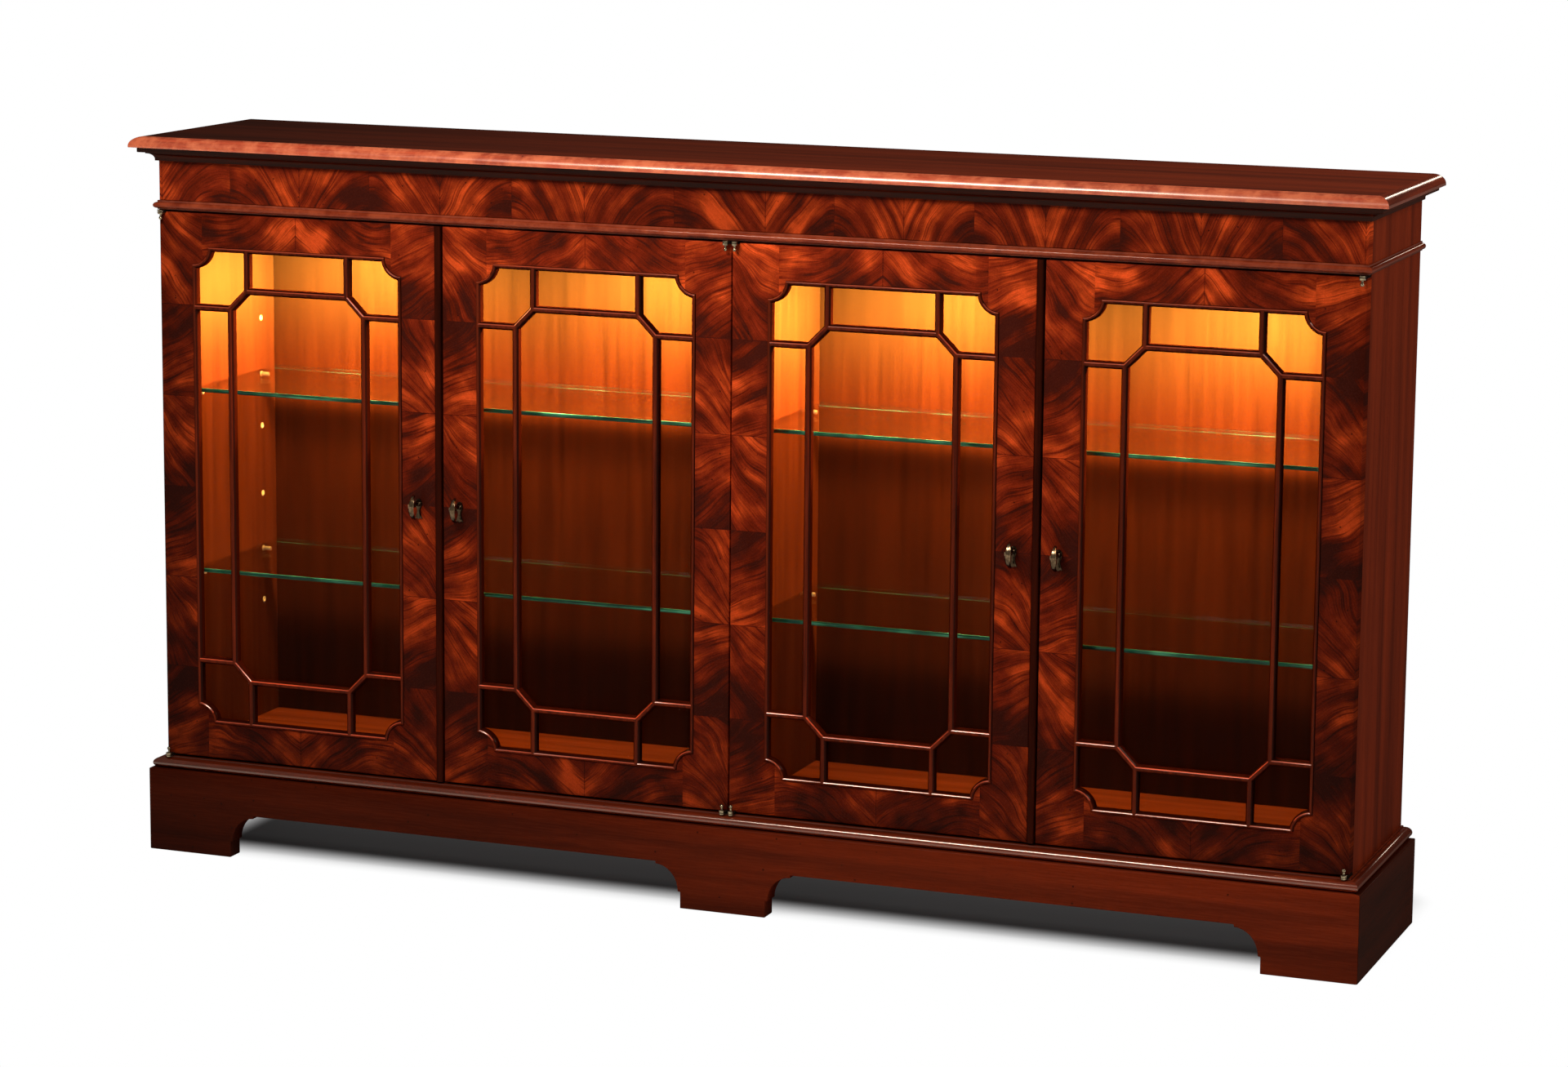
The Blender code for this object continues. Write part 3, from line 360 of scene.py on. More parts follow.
def finish_piece(piece, body, finishes, nodes=(), smooth_below=30):
    """Closes a piece: its shading and finishes, the body it rides on and the nodes it stands for.

    Faces that meet at less than smooth_below degrees are shaded as one round surface.
    """
    settle(piece)
    bpy.ops.object.shade_smooth_by_angle(angle=math.radians(smooth_below))
    piece.data.materials.clear()
    for name in finishes:
        piece.data.materials.append(material(name))
    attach(piece, body)
    if nodes:
        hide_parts(*nodes)


def refinish_node(node, finish):
    """Gives a frame node that stays as it is a better material."""
    piece = frame["nodes"][node]
    piece.data.materials.clear()
    piece.data.materials.append(material(finish))


def quarter_round(near, far, low, high, steps):
    """A convex quarter from the tip below to the flat above, as overhang and height."""
    points = []
    for i in range(steps + 1):
        turn = math.pi / 2 * i / steps
        points.append((near + (far - near) * math.cos(turn), low + (high - low) * math.sin(turn)))
    return points


def rounded_nose(near, far, low, high, steps):
    """A rounded nose from its foot to its top, as overhang and height."""
    middle, half = (low + high) / 2, (high - low) / 2
    points = []
    for i in range(steps + 1):
        turn = -math.pi / 2 + math.pi * i / steps
        points.append((near + (far - near) * math.cos(turn), middle + half * math.sin(turn)))
    return points


def area_lamp(name, shape, width, power, place):
    """An area light at a place, which shines downwards until it is turned."""
    lamp = bpy.data.lights.new(name, "AREA")
    lamp.shape = shape
    lamp.size = width
    lamp.energy = power
    shine = bpy.data.objects.new(name, lamp)
    shine.location = place
    bpy.context.scene.collection.objects.link(shine)
    return shine


# Materials

LACQUER_TINT = (1.0, 0.80, 0.64)
# Painted light: the walls beside the shelves are drawn this much lighter than the back board
WALL_PAINTED_LIGHT = 1.8
SPECK_COLOUR = (0.012, 0.003, 0.002)


class Field:
    """A number that varies over a surface, written with ordinary arithmetic."""

    def __init__(self, finish, socket):
        self.finish = finish
        self.socket = socket

    def then(self, operation, *others):
        return self.finish.math(operation, self, *others)

    def __add__(self, other):
        return self.then("ADD", other)

    def __sub__(self, other):
        return self.then("SUBTRACT", other)

    def __rsub__(self, other):
        return self.finish.math("SUBTRACT", other, self)

    def __mul__(self, other):
        return self.then("MULTIPLY", other)

    __radd__ = __add__
    __rmul__ = __mul__

    def __truediv__(self, other):
        return self.then("DIVIDE", other)

    def __abs__(self):
        return self.then("ABSOLUTE")

    def ramped(self, low, high, new_low=0.0, new_high=1.0, smooth=False):
        """This number taken from one span to another, and held at the ends."""
        inputs = {0: self, 1: low, 2: high, 3: new_low, 4: new_high}
        kind = "SMOOTHSTEP" if smooth else "LINEAR"
        made = self.finish.add("ShaderNodeMapRange", inputs, interpolation_type=kind, clamp=True)
        return Field(self.finish, made.outputs[0])


class Finish:
    """One node-based material, built a node at a time. Patterns are in metres."""

    def __init__(self, name):
        self.material = bpy.data.materials.new(name)
        self.material.use_nodes = True
        self.tree = self.material.node_tree
        self.tree.nodes.clear()
        self.output = self.add("ShaderNodeOutputMaterial")

    def add(self, kind, inputs=None, **settings):
        made = self.tree.nodes.new(kind)
        for key, value in settings.items():
            setattr(made, key, value)
        for key, value in (inputs or {}).items():
            self.feed(made.inputs[key], value)
        return made

    def feed(self, socket, value):
        if isinstance(value, Field):
            value = value.socket
        if isinstance(value, bpy.types.NodeSocket):
            self.tree.links.new(value, socket)
        elif isinstance(value, (tuple, list)) and len(value) == 3 and socket.type == "RGBA":
            socket.default_value = (*value, 1.0)
        else:
            socket.default_value = value

    def math(self, operation, *values):
        made = self.add("ShaderNodeMath", operation=operation)
        for socket, value in zip(made.inputs, values):
            self.feed(socket, value)
        return Field(self, made.outputs[0])

    def place(self, move=(0, 0, 0), stretch=(1, 1, 1)):
        """Object coordinates, moved and stretched."""
        source = self.add("ShaderNodeTexCoord").outputs["Object"]
        inputs = {"Vector": source, "Location": move, "Scale": stretch}
        return self.add("ShaderNodeMapping", inputs, vector_type="POINT").outputs[0]

    def split(self, vector):
        return [Field(self, socket) for socket in self.add("ShaderNodeSeparateXYZ", {0: vector}).outputs]

    def gather(self, x, y, z=0.0):
        made = self.add("ShaderNodeCombineXYZ")
        for socket, value in zip(made.inputs, (x, y, z)):
            self.feed(socket, value)
        return made.outputs[0]

    def noise(self, vector, scale, detail=2.0, roughness=0.5, distortion=0.0):
        inputs = {"Vector": vector, "Scale": scale, "Detail": detail,
                  "Roughness": roughness, "Distortion": distortion}
        made = self.add("ShaderNodeTexNoise", inputs, noise_dimensions="3D")
        return Field(self, made.outputs["Fac"])

    def cells(self, vector, scale):
        return self.add("ShaderNodeTexVoronoi", {"Vector": vector, "Scale": scale}, feature="F1").outputs

    def either(self, share, first, second):
        """The first number where the share is 0 and the second where it is 1."""
        made = self.add("ShaderNodeMix", data_type="FLOAT")
        for index, value in zip((0, 2, 3), (share, first, second)):
            self.feed(made.inputs[index], value)
        return Field(self, made.outputs[0])

    def ramp(self, factor, *stops):
        made = self.add("ShaderNodeValToRGB", {0: factor})
        points = made.color_ramp.elements
        while len(points) < len(stops):
            points.new(0.5)
        for point, (position, colour) in zip(points, stops):
            point.position = position
            point.color = (*colour, 1.0)
        return made.outputs[0]

    def blend(self, factor, first, second, kind="MIX"):
        made = self.add("ShaderNodeMix", data_type="RGBA", blend_type=kind, clamp_factor=True)
        self.feed(made.inputs["Factor"], factor)
        self.feed(made.inputs[6], first)
        self.feed(made.inputs[7], second)
        return made.outputs[2]

    def bump(self, height, strength, distance):
        inputs = {"Height": height, "Strength": strength, "Distance": distance}
        return self.add("ShaderNodeBump", inputs).outputs[0]

    def deepened(self, colour, depth):
        """A colour times a number that varies."""
        return self.blend(1.0, colour, self.gather(depth, depth, depth), "MULTIPLY")

    def mixed(self, share, first, second):
        """The first shader where the share is 0 and the second where it is 1."""
        return self.add("ShaderNodeMixShader", {0: share, 1: first, 2: second}).outputs[0]

    def close(self, surface):
        """Puts the surface on the material, and returns the material."""
        self.tree.links.new(surface, self.output.inputs["Surface"])
        return self.material

    def shader(self, shine=0.0, **inputs):
        """The Principled surface. Its names are written with a low line for a space.

        shine is an even lacquer sheen on top, the same from every side.
        """
        named = {key.replace("_", " "): value for key, value in inputs.items()}
        surface = self.add("ShaderNodeBsdfPrincipled", named).outputs[0]
        if shine:
            sheen = {"Color": LACQUER_TINT, "Roughness": named["Roughness"], "Normal": named["Normal"]}
            surface = self.mixed(shine, surface, self.add("ShaderNodeBsdfGlossy", sheen).outputs[0])
        return self.close(surface)

    def lacquered(self, colour, shine, texture, roughness, relief, strength, depth=0.0003):
        """Timber or metal under lacquer.

        roughness is its span over the texture, and relief is pressed in to a depth in metres.
        """
        return self.shader(
            shine, Base_Color=colour, Roughness=texture.ramped(0.3, 0.7, *roughness),
            Specular_IOR_Level=0.0, Normal=self.bump(relief, strength, depth))


def shaded(colour, share):
    return tuple(channel * share for channel in colour)


def halfway(first, second):
    return tuple((a + b) / 2 for a, b in zip(first, second))


def dark_specks(finish, vector, density, size):
    """Small dark distress marks, as in an aged lacquer: 1 in a mark and 0 elsewhere."""
    spots = finish.cells(vector, density)
    near = Field(finish, spots["Distance"]).ramped(size * 0.45, size, 1.0, 0.0, smooth=True)
    chosen = finish.split(spots["Color"])[0].ramped(0.60, 0.66)
    return near * chosen


class Figure:
    """Flame figure of a veneer: streaks along lines that run out of a focus and bend away.

    Each kind of leaf gives its own lines. The one that a place belongs to is chosen before
    the streaks are drawn, so that the leaves meet in clean seams.
    """

    def __init__(self, finish, line, reach, seed, tone):
        self.finish = finish
        self.line = line
        self.reach = reach
        self.seed = seed
        self.tone = tone

    @classmethod
    def fan(cls, finish, outward, upward, bend, lines, seed, tone):
        """Lines out of a focus. outward and upward are the distances from it."""
        reach = (outward * outward + upward * upward).then("SQRT")
        angle = outward.then("ARCTAN2", upward)
        return cls(finish, (angle - reach * bend) * lines, reach, seed, tone)

    @classmethod
    def wave(cls, finish, across, upward, rise, span, seed, tone):
        """Nested lines that leave a seam at a slant and level out at a span from it."""
        share = (across / span).then("MINIMUM", 1.0)
        swell = (share * (math.pi / 2)).then("SINE") * rise
        return cls(finish, (upward - swell) * 92.0, across * 1.3, seed, tone)

    def or_else(self, other, share):
        """This figure where the share is 0 and the other one where it is 1."""
        pick = self.finish.either
        return Figure(self.finish, pick(share, self.line, other.line), pick(share, self.reach, other.reach),
                      pick(share, self.seed, other.seed), pick(share, self.tone, other.tone))

    def drawn(self, place):
        """Strength of the streaks at a place, and the fine fibres in them."""
        finish = self.finish
        x, y, z = finish.split(place)
        drift = finish.noise(finish.gather(x, z, self.seed), 13.0, 1.0)
        line = self.line + (drift - 0.5) * 3.4
        wide = finish.noise(finish.gather(line * 0.42, self.reach * 9.0, self.seed), 1.0, 1.0)
        thin = finish.noise(finish.gather(line * 2.0, self.reach * 10.0, self.seed + 4.0), 1.0, 2.5, 0.6)
        fibres = finish.noise(finish.gather(line * 8.0, self.reach * 34.0, self.seed), 1.0, 2.0, 0.6)
        cloud = finish.noise(finish.gather(x, z, self.seed + 2.0), 24.0, 2.0)
        ridge = 1.0 - abs(thin - 0.5) * 6.0
        strength = 0.43 + (wide - 0.5) * 0.95 + (ridge - 0.35) * 0.14 + (cloud - 0.5) * 0.80
        return strength + (thin - 0.5) * 0.55 + (fibres - 0.5) * 0.20 + self.tone, fibres


def flame_surface(finish, figure, place, joint, depth):
    """Colours a flame figure, adds stipple and distress marks, and lacquers it.

    depth is painted light: how much lighter or darker the veneer is drawn there, where 1 is the
    usual level.
    """
    timber = bpy.context.scene.cabinet_timber
    deep, body, bright = tuple(timber.flame_dark), tuple(timber.flame_mid), tuple(timber.flame_bright)
    strength, fibres = figure.drawn(place)
    strength = strength - joint * 0.22
    colour = finish.ramp(
        strength, (0.18, deep), (0.36, shaded(body, 0.62)), (0.49, body),
        (0.63, shaded(halfway(body, bright), 0.72)), (0.80, bright))
    stipple = finish.noise(place, 520.0, 3.0, 0.6)
    # The painted light given as depth multiplies the colour, together with the stipple and fibres
    shade = stipple.ramped(0.30, 0.70, 0.84, 1.12) * fibres.ramped(0.3, 0.7, 0.86, 1.12) * depth
    colour = finish.deepened(colour, shade)
    colour = finish.blend(dark_specks(finish, place, 75.0, 0.12) * 0.8, colour, SPECK_COLOUR)
    roughness = (timber.gloss * 0.85, timber.gloss * 1.25)
    return finish.lacquered(
        colour, 0.003, stipple, roughness, fibres * 0.4 + stipple * 0.25, 0.10, 0.0004)


def door_veneer(name, centre, painted_light_across):
    """Flame veneer on one leaf: six pieces up each stile and a mirrored pair along each rail.

    The left stile is the right one turned half round, and so are the two rails. The pair after
    the centre is painted light: how light the leaf is drawn at its left and its right edge.
    Every leaf is drawn darker towards its foot and lighter at its head, also as painted light.
    """
    rail_inset = 0.066
    # Painted light: a leaf is drawn at half its level at the foot and lighter at the head
    painted_light_foot_and_head = (0.50, 1.34)
    finish = Finish(name)
    place = finish.place(move=(-centre, 0, -(LEAF_LOW.z + LEAF_HIGH.z) / 2))
    x, _, z = finish.split(place)
    hand = x.then("SIGN")
    across = abs(x)
    half_height = (LEAF_HIGH.z - LEAF_LOW.z) / 2
    piece = half_height / 3
    climb = z * hand + half_height
    step = (climb / piece).then("FLOOR")
    local = climb - step * piece
    odd = step.then("MODULO", 2.0)
    inward = LEAF_HALF - across
    wander = finish.noise(finish.gather(inward, climb, centre), 17.0, 1.0) - 0.5
    height = local + wander * 0.05

    seed = step * 3.7 + hand * 1.3 + centre * 17.0
    steep = Figure.fan(
        finish, inward + 0.030, local + 0.045, 1.9, 12.0, seed,
        height.ramped(piece * 0.45, piece * 0.95, 0.05, -0.12, smooth=True))
    level = Figure.fan(
        finish, inward + 0.24, piece + 0.045 - local, -0.4, 36.0, seed + 1.9,
        height.ramped(piece * 0.12, piece * 0.66, -0.26, 0.07, smooth=True))
    stile = steep.or_else(level, odd)

    turned_over = z.then("SIGN")
    edge = half_height - abs(z)
    rail_seed = turned_over * 2.3 + centre * 11.0 + 4.0
    rail = Figure.wave(
        finish, across, edge * -1.0, -0.075, 0.13, rail_seed,
        (across + wander * 0.09).then("PINGPONG", 0.07).ramped(0.015, 0.06, 0.05, -0.15, smooth=True))
    in_rail = (across - (LEAF_HALF - rail_inset)).then("LESS_THAN", 0.0)
    figure = stile.or_else(rail, in_rail)

    seam = finish.either(in_rail, (abs(local - piece / 2) - piece / 2).then("ABSOLUTE"), across)
    # Painted light across the leaf and up it, multiplied into the colour
    depth = x.ramped(-LEAF_HALF, LEAF_HALF, *painted_light_across) * z.ramped(-half_height, half_height, *painted_light_foot_and_head)
    return flame_surface(finish, figure, place, seam.ramped(0.0002, 0.0007, 1.0, 0.0), depth)


def frieze_veneer(name):
    """Flame veneer along the frieze: mirrored leaves that fan up from each seam's foot."""
    pitch = 0.2137
    widest, left_end, right_end = 0.047, -0.2125, 0.5
    finish = Finish(name)
    place = finish.place(move=(0.0, 0, -FRIEZE_LOW.z))
    x, _, z = finish.split(place)
    uneven = x.ramped(left_end, widest, 0.0, 0.047) - x.ramped(widest, right_end, 0.0, 0.047)
    run = x - uneven + 10 * pitch
    across = run.then("PINGPONG", pitch / 2)
    pair = (run / pitch + 0.5).then("FLOOR")
    seed = pair * 0.9
    wander = finish.noise(finish.gather(across, z, seed), 17.0, 1.0) - 0.5
    far = (across + wander * 0.05).ramped(0.055, 0.095, 0.0, 1.0, smooth=True)
    low = (z + wander * 0.04).ramped(0.010, 0.050, 1.0, 0.0, smooth=True)
    near = across.ramped(0.010, 0.045, 0.07, 0.0, smooth=True)
    steepness = finish.noise(finish.gather(pair, 0.5, 0.5), 1.7, 0.0).ramped(0.35, 0.65, 0.085, 0.17)
    figure = Figure.wave(finish, across, z, steepness, pitch / 2, seed, near - far * low * 0.22 + 0.02)
    seam = across.then("MINIMUM", (pitch / 2 - across) * 2.5)
    # Painted light: the frieze is drawn lighter towards both ends
    depth = abs(x).ramped(0.0, CASE_HALF, 0.95, 1.45)
    return flame_surface(finish, figure, place, seam.ramped(0.0002, 0.0007, 1.0, 0.0), depth)


def grain_colour(finish, light, dark, grain, band):
    """Straight mahogany grain. grain is the axis that it runs along, band its ribbons' width.

    Returns the colour, the fine grain and the pores.
    """
    run = {"X": 0, "Y": 1, "Z": 2}[grain]
    along = [1.0, 1.0, 1.0]
    along[run] = 0.045
    ribbon_place = finish.place(stretch=along)
    ribbons = finish.noise(ribbon_place, 0.5 / band, 2.5, 0.55, 0.25)
    fine = finish.noise(ribbon_place, 420.0, 2.0, 0.6)
    dash = [1.0, 1.0, 1.0]
    dash[run] = 0.06
    pores = finish.noise(finish.place(stretch=dash), 1500.0, 1.0, 0.5).ramped(0.62, 0.72)
    level = ribbons * 0.75 + fine * 0.25
    colour = finish.ramp(level, (0.34, dark), (0.50, halfway(light, dark)), (0.66, light))
    return finish.blend(pores * 0.45, colour, shaded(dark, 0.35)), fine, pores


def lining_colour(finish, grain, share):
    """Straight grain of the boards inside, with a painted pool of lamp light: paler and yellower
    towards the lamps above.
    """
    timber = bpy.context.scene.cabinet_timber
    light, dark, painted_lamp_pool = (shaded(colour, share) for colour in (
        timber.lining_light, timber.lining_dark, timber.lining_painted_lamp_pool))
    colour, fine, pores = grain_colour(finish, light, dark, grain, 0.007)
    painted_lamp_pool_grain = grain_colour(finish, painted_lamp_pool, shaded(painted_lamp_pool, 0.72), grain, 0.007)[0]
    _, _, z = finish.split(finish.place())
    # Painted light: the grain turns into the pale copy towards the top of the case
    return finish.blend(z.ramped(0.64, 0.90, 0.0, 0.9, smooth=True), colour, painted_lamp_pool_grain), fine, pores


def grain_relief(fine, pores):
    return fine * 0.3 - pores * 0.5


def lining(name, grain, share=1.0, outside=False):
    """Boards inside the case. Outside, the back board is plain brown."""
    finish = Finish(name)
    colour, fine, pores = lining_colour(finish, grain, share)
    if outside:
        timber = bpy.context.scene.cabinet_timber
        brown = grain_colour(finish, timber.plain_light, timber.plain_dark, grain, 0.012)[0]
        _, y, _ = finish.split(finish.place())
        colour = finish.blend(y.then("GREATER_THAN", (BACK_LOW.y + BACK_HIGH.y) / 2), colour, brown)
    return finish.lacquered(colour, 0.0006, fine, (0.34, 0.46), grain_relief(fine, pores), 0.10)


def bar_finish(name):
    """Glazing bars and the bead round an opening, with painted shade that darkens the corners."""
    finish = Finish(name)
    timber = bpy.context.scene.cabinet_timber
    colour, fine, pores = grain_colour(
        finish, shaded(timber.plain_light, 1.1), shaded(timber.plain_dark, 0.9), "Z", 0.003)
    _, y, _ = finish.split(finish.place())
    # Painted shade: the bar's sides and the ledge behind its round are drawn almost black
    corner = y.ramped(BAR_FRONT - 0.0009, BAR_FRONT + 0.0004, smooth=True)
    colour = finish.blend(corner * 0.92, colour, shaded(timber.plain_dark, 0.2))
    return finish.lacquered(colour, 0.004, fine, (0.09, 0.13), grain_relief(fine, pores), 0.03)


def plain(name, grain, share, band, gloss, shine, specks=0.0, wear_and_highlight=None, lined=False, painted_light_ends=None):
    """Straight-grained mahogany under lacquer.

    share is how light it is against the plain mahogany, band its ribbons' width and specks the
    strength of its distress marks. The colour after them is laid in patches: rubbed places, and on
    the top's front edge a painted highlight. The last pair is painted light, darker and lighter at a
    board's left and right end. A lined board has the lining on its inner face.
    """
    finish = Finish(name)
    timber = bpy.context.scene.cabinet_timber
    colour, fine, pores = grain_colour(
        finish, shaded(timber.plain_light, share), shaded(timber.plain_dark, share), grain, band)
    # Painted light: darker at one end of the board and lighter at the other
    if painted_light_ends:
        x, _, _ = finish.split(finish.place())
        colour = finish.deepened(colour, x.ramped(-CASE_HALF, CASE_HALF, *painted_light_ends))
    if specks:
        marks = dark_specks(finish, finish.place(), 62.0, 0.12)
        colour = finish.blend(marks * specks, colour, (0.010, 0.003, 0.002))
    # Patches of the given colour: rubbed places, and on the top's front edge a painted highlight
    if wear_and_highlight:
        highlight_and_wear = finish.noise(finish.place(), 38.0, 4.0, 0.65)
        colour = finish.blend(highlight_and_wear.ramped(0.40, 0.62), colour, wear_and_highlight)
    if lined:
        x, _, _ = finish.split(finish.place())
        inside = abs(x).then("LESS_THAN", INNER_HALF + 0.0005)
        colour = finish.blend(inside, colour, lining_colour(finish, "Z", WALL_PAINTED_LIGHT)[0])
    return finish.lacquered(
        colour, shine, fine, (gloss * 0.85, gloss * 1.2), grain_relief(fine, pores), 0.03)


def brass(name, bright, dark, roughness, span=None):
    """Old brass: bright where it is rubbed and brown in the hollows.

    span is the height over which a piece goes from black at its foot to its own colour: painted
    shade on its lower part.
    """
    finish = Finish(name)
    place = finish.place()
    tarnish = finish.noise(place, 260.0, 4.0, 0.6)
    colour = finish.ramp(tarnish, (0.38, dark), (0.62, bright))
    # Painted shade: black at the foot of the piece, fading up to its own colour
    if span:
        _, _, z = finish.split(place)
        colour = finish.blend(z.ramped(*span, 0.8, 0.0, smooth=True), colour, (0.012, 0.009, 0.006))
    fine = finish.noise(place, 2200.0, 2.0, 0.5)
    return finish.shader(
        Base_Color=colour, Metallic=1.0,
        Roughness=tarnish.ramped(0.3, 0.7, roughness * 1.3, roughness * 0.8),
        Normal=finish.bump(fine, 0.15, 0.0001))


def dark_patina(name):
    """Metal that has gone brown-black, where no hand rubs it; on the hinge plates also painted shade."""
    finish = Finish(name)
    crust = finish.noise(finish.place(), 600.0, 3.0, 0.6)
    colour = finish.ramp(crust, (0.35, (0.006, 0.003, 0.002)), (0.65, (0.022, 0.012, 0.008)))
    return finish.lacquered(colour, 0.002, crust, (0.4, 0.6), crust, 0.1, 0.0002)


def pane_glass(name, head_on, slant, tint, shade, edge=None):
    """Thin glass: clear, with a slight mirror that grows at a slant.

    head_on and slant are the mirror's share in the middle and at the rim of a view. shade gives
    the share of lamp light that passes, and edge is 1 where the glass shows its green edge.
    """
    finish = Finish(name)
    clear = finish.add("ShaderNodeBsdfTransparent", {"Color": tint}).outputs[0]
    smear = finish.noise(finish.place(), 14.0, 2.0, 0.5).ramped(0.3, 0.7, 0.004, 0.02)
    mirror = finish.add("ShaderNodeBsdfGlossy", {"Color": (1.0, 1.0, 1.0), "Roughness": smear}).outputs[0]
    facing = finish.add("ShaderNodeLayerWeight", {"Blend": 0.5}).outputs["Facing"]
    surface = finish.mixed(finish.math("POWER", facing, 5.0) * slant + head_on, clear, mirror)
    if edge is not None:
        surface = finish.mixed(edge(finish), surface, edge_glass(finish))
    passing = finish.add("ShaderNodeBsdfTransparent", {"Color": shade(finish)}).outputs[0]
    shadow_ray = finish.add("ShaderNodeLightPath").outputs["Is Shadow Ray"]
    return finish.close(finish.mixed(shadow_ray, surface, passing))


def edge_glass(finish):
    """The polished green edge of a shelf, with painted glints along it as lighter patches of green."""
    # Painted glints: the lightest green of the edge colour, laid in patches
    glints = finish.noise(finish.place(stretch=(1.0, 1.0, 0.2)), 16.0, 2.0, 0.6)
    level = finish.noise(finish.place(stretch=(0.02, 1.0, 1.0)), 420.0, 1.0) * 0.5 + glints * 0.5
    colour = finish.ramp(
        level, (0.36, (0.002, 0.016, 0.009)), (0.50, (0.006, 0.060, 0.030)), (0.64, (0.06, 0.28, 0.16)))
    return finish.add("ShaderNodeBsdfPrincipled", {
        "Base Color": colour, "Roughness": 0.12, "Specular IOR Level": 0.12}).outputs[0]


def shelf_edge(finish):
    """1 on a shelf's front edge, less on the two arrises of its back edge, and 0 on its faces."""
    rim = 0.0007
    half_thickness = 0.00275
    _, y, z = finish.split(finish.place(move=(0, 0, -SHELF_LOW.z)))
    front = y.then("LESS_THAN", SHELF_LOW.y + rim)
    back = y.then("GREATER_THAN", SHELF_HIGH.y - rim)
    height = z.then("MODULO", SHELF_PITCH)
    arris = abs(height - half_thickness).ramped(0.0018, 0.0023, 0.02, 0.25)
    return front.then("MAXIMUM", back * arris)


def pane_shade(finish):
    """What a door pane lets through of the studio's light."""
    return (0.76, 0.76, 0.76)


def shelf_shade(finish):
    """What a shelf lets through: a strip near its back edge sends the light sideways."""
    _, y, _ = finish.split(finish.place())
    clear, strip, middle = (0.96, 0.96, 0.94), (0.41, 0.40, 0.38), (0.62, 0.61, 0.58)
    return finish.ramp(
        (SHELF_HIGH.y - y) / 0.08, (0.28, clear), (0.38, strip), (0.52, strip), (0.66, middle))


def glowing_lens(name):
    """The frosted lens of a cabinet lamp."""
    finish = Finish(name)
    light = bpy.context.scene.cabinet_light
    frost = finish.noise(finish.place(), 900.0, 2.0)
    return finish.shader(
        Base_Color=(0.9, 0.85, 0.75), Roughness=frost.ramped(0.3, 0.7, 0.35, 0.5),
        Emission_Color=tuple(light.lamp_colour), Emission_Strength=9.0)


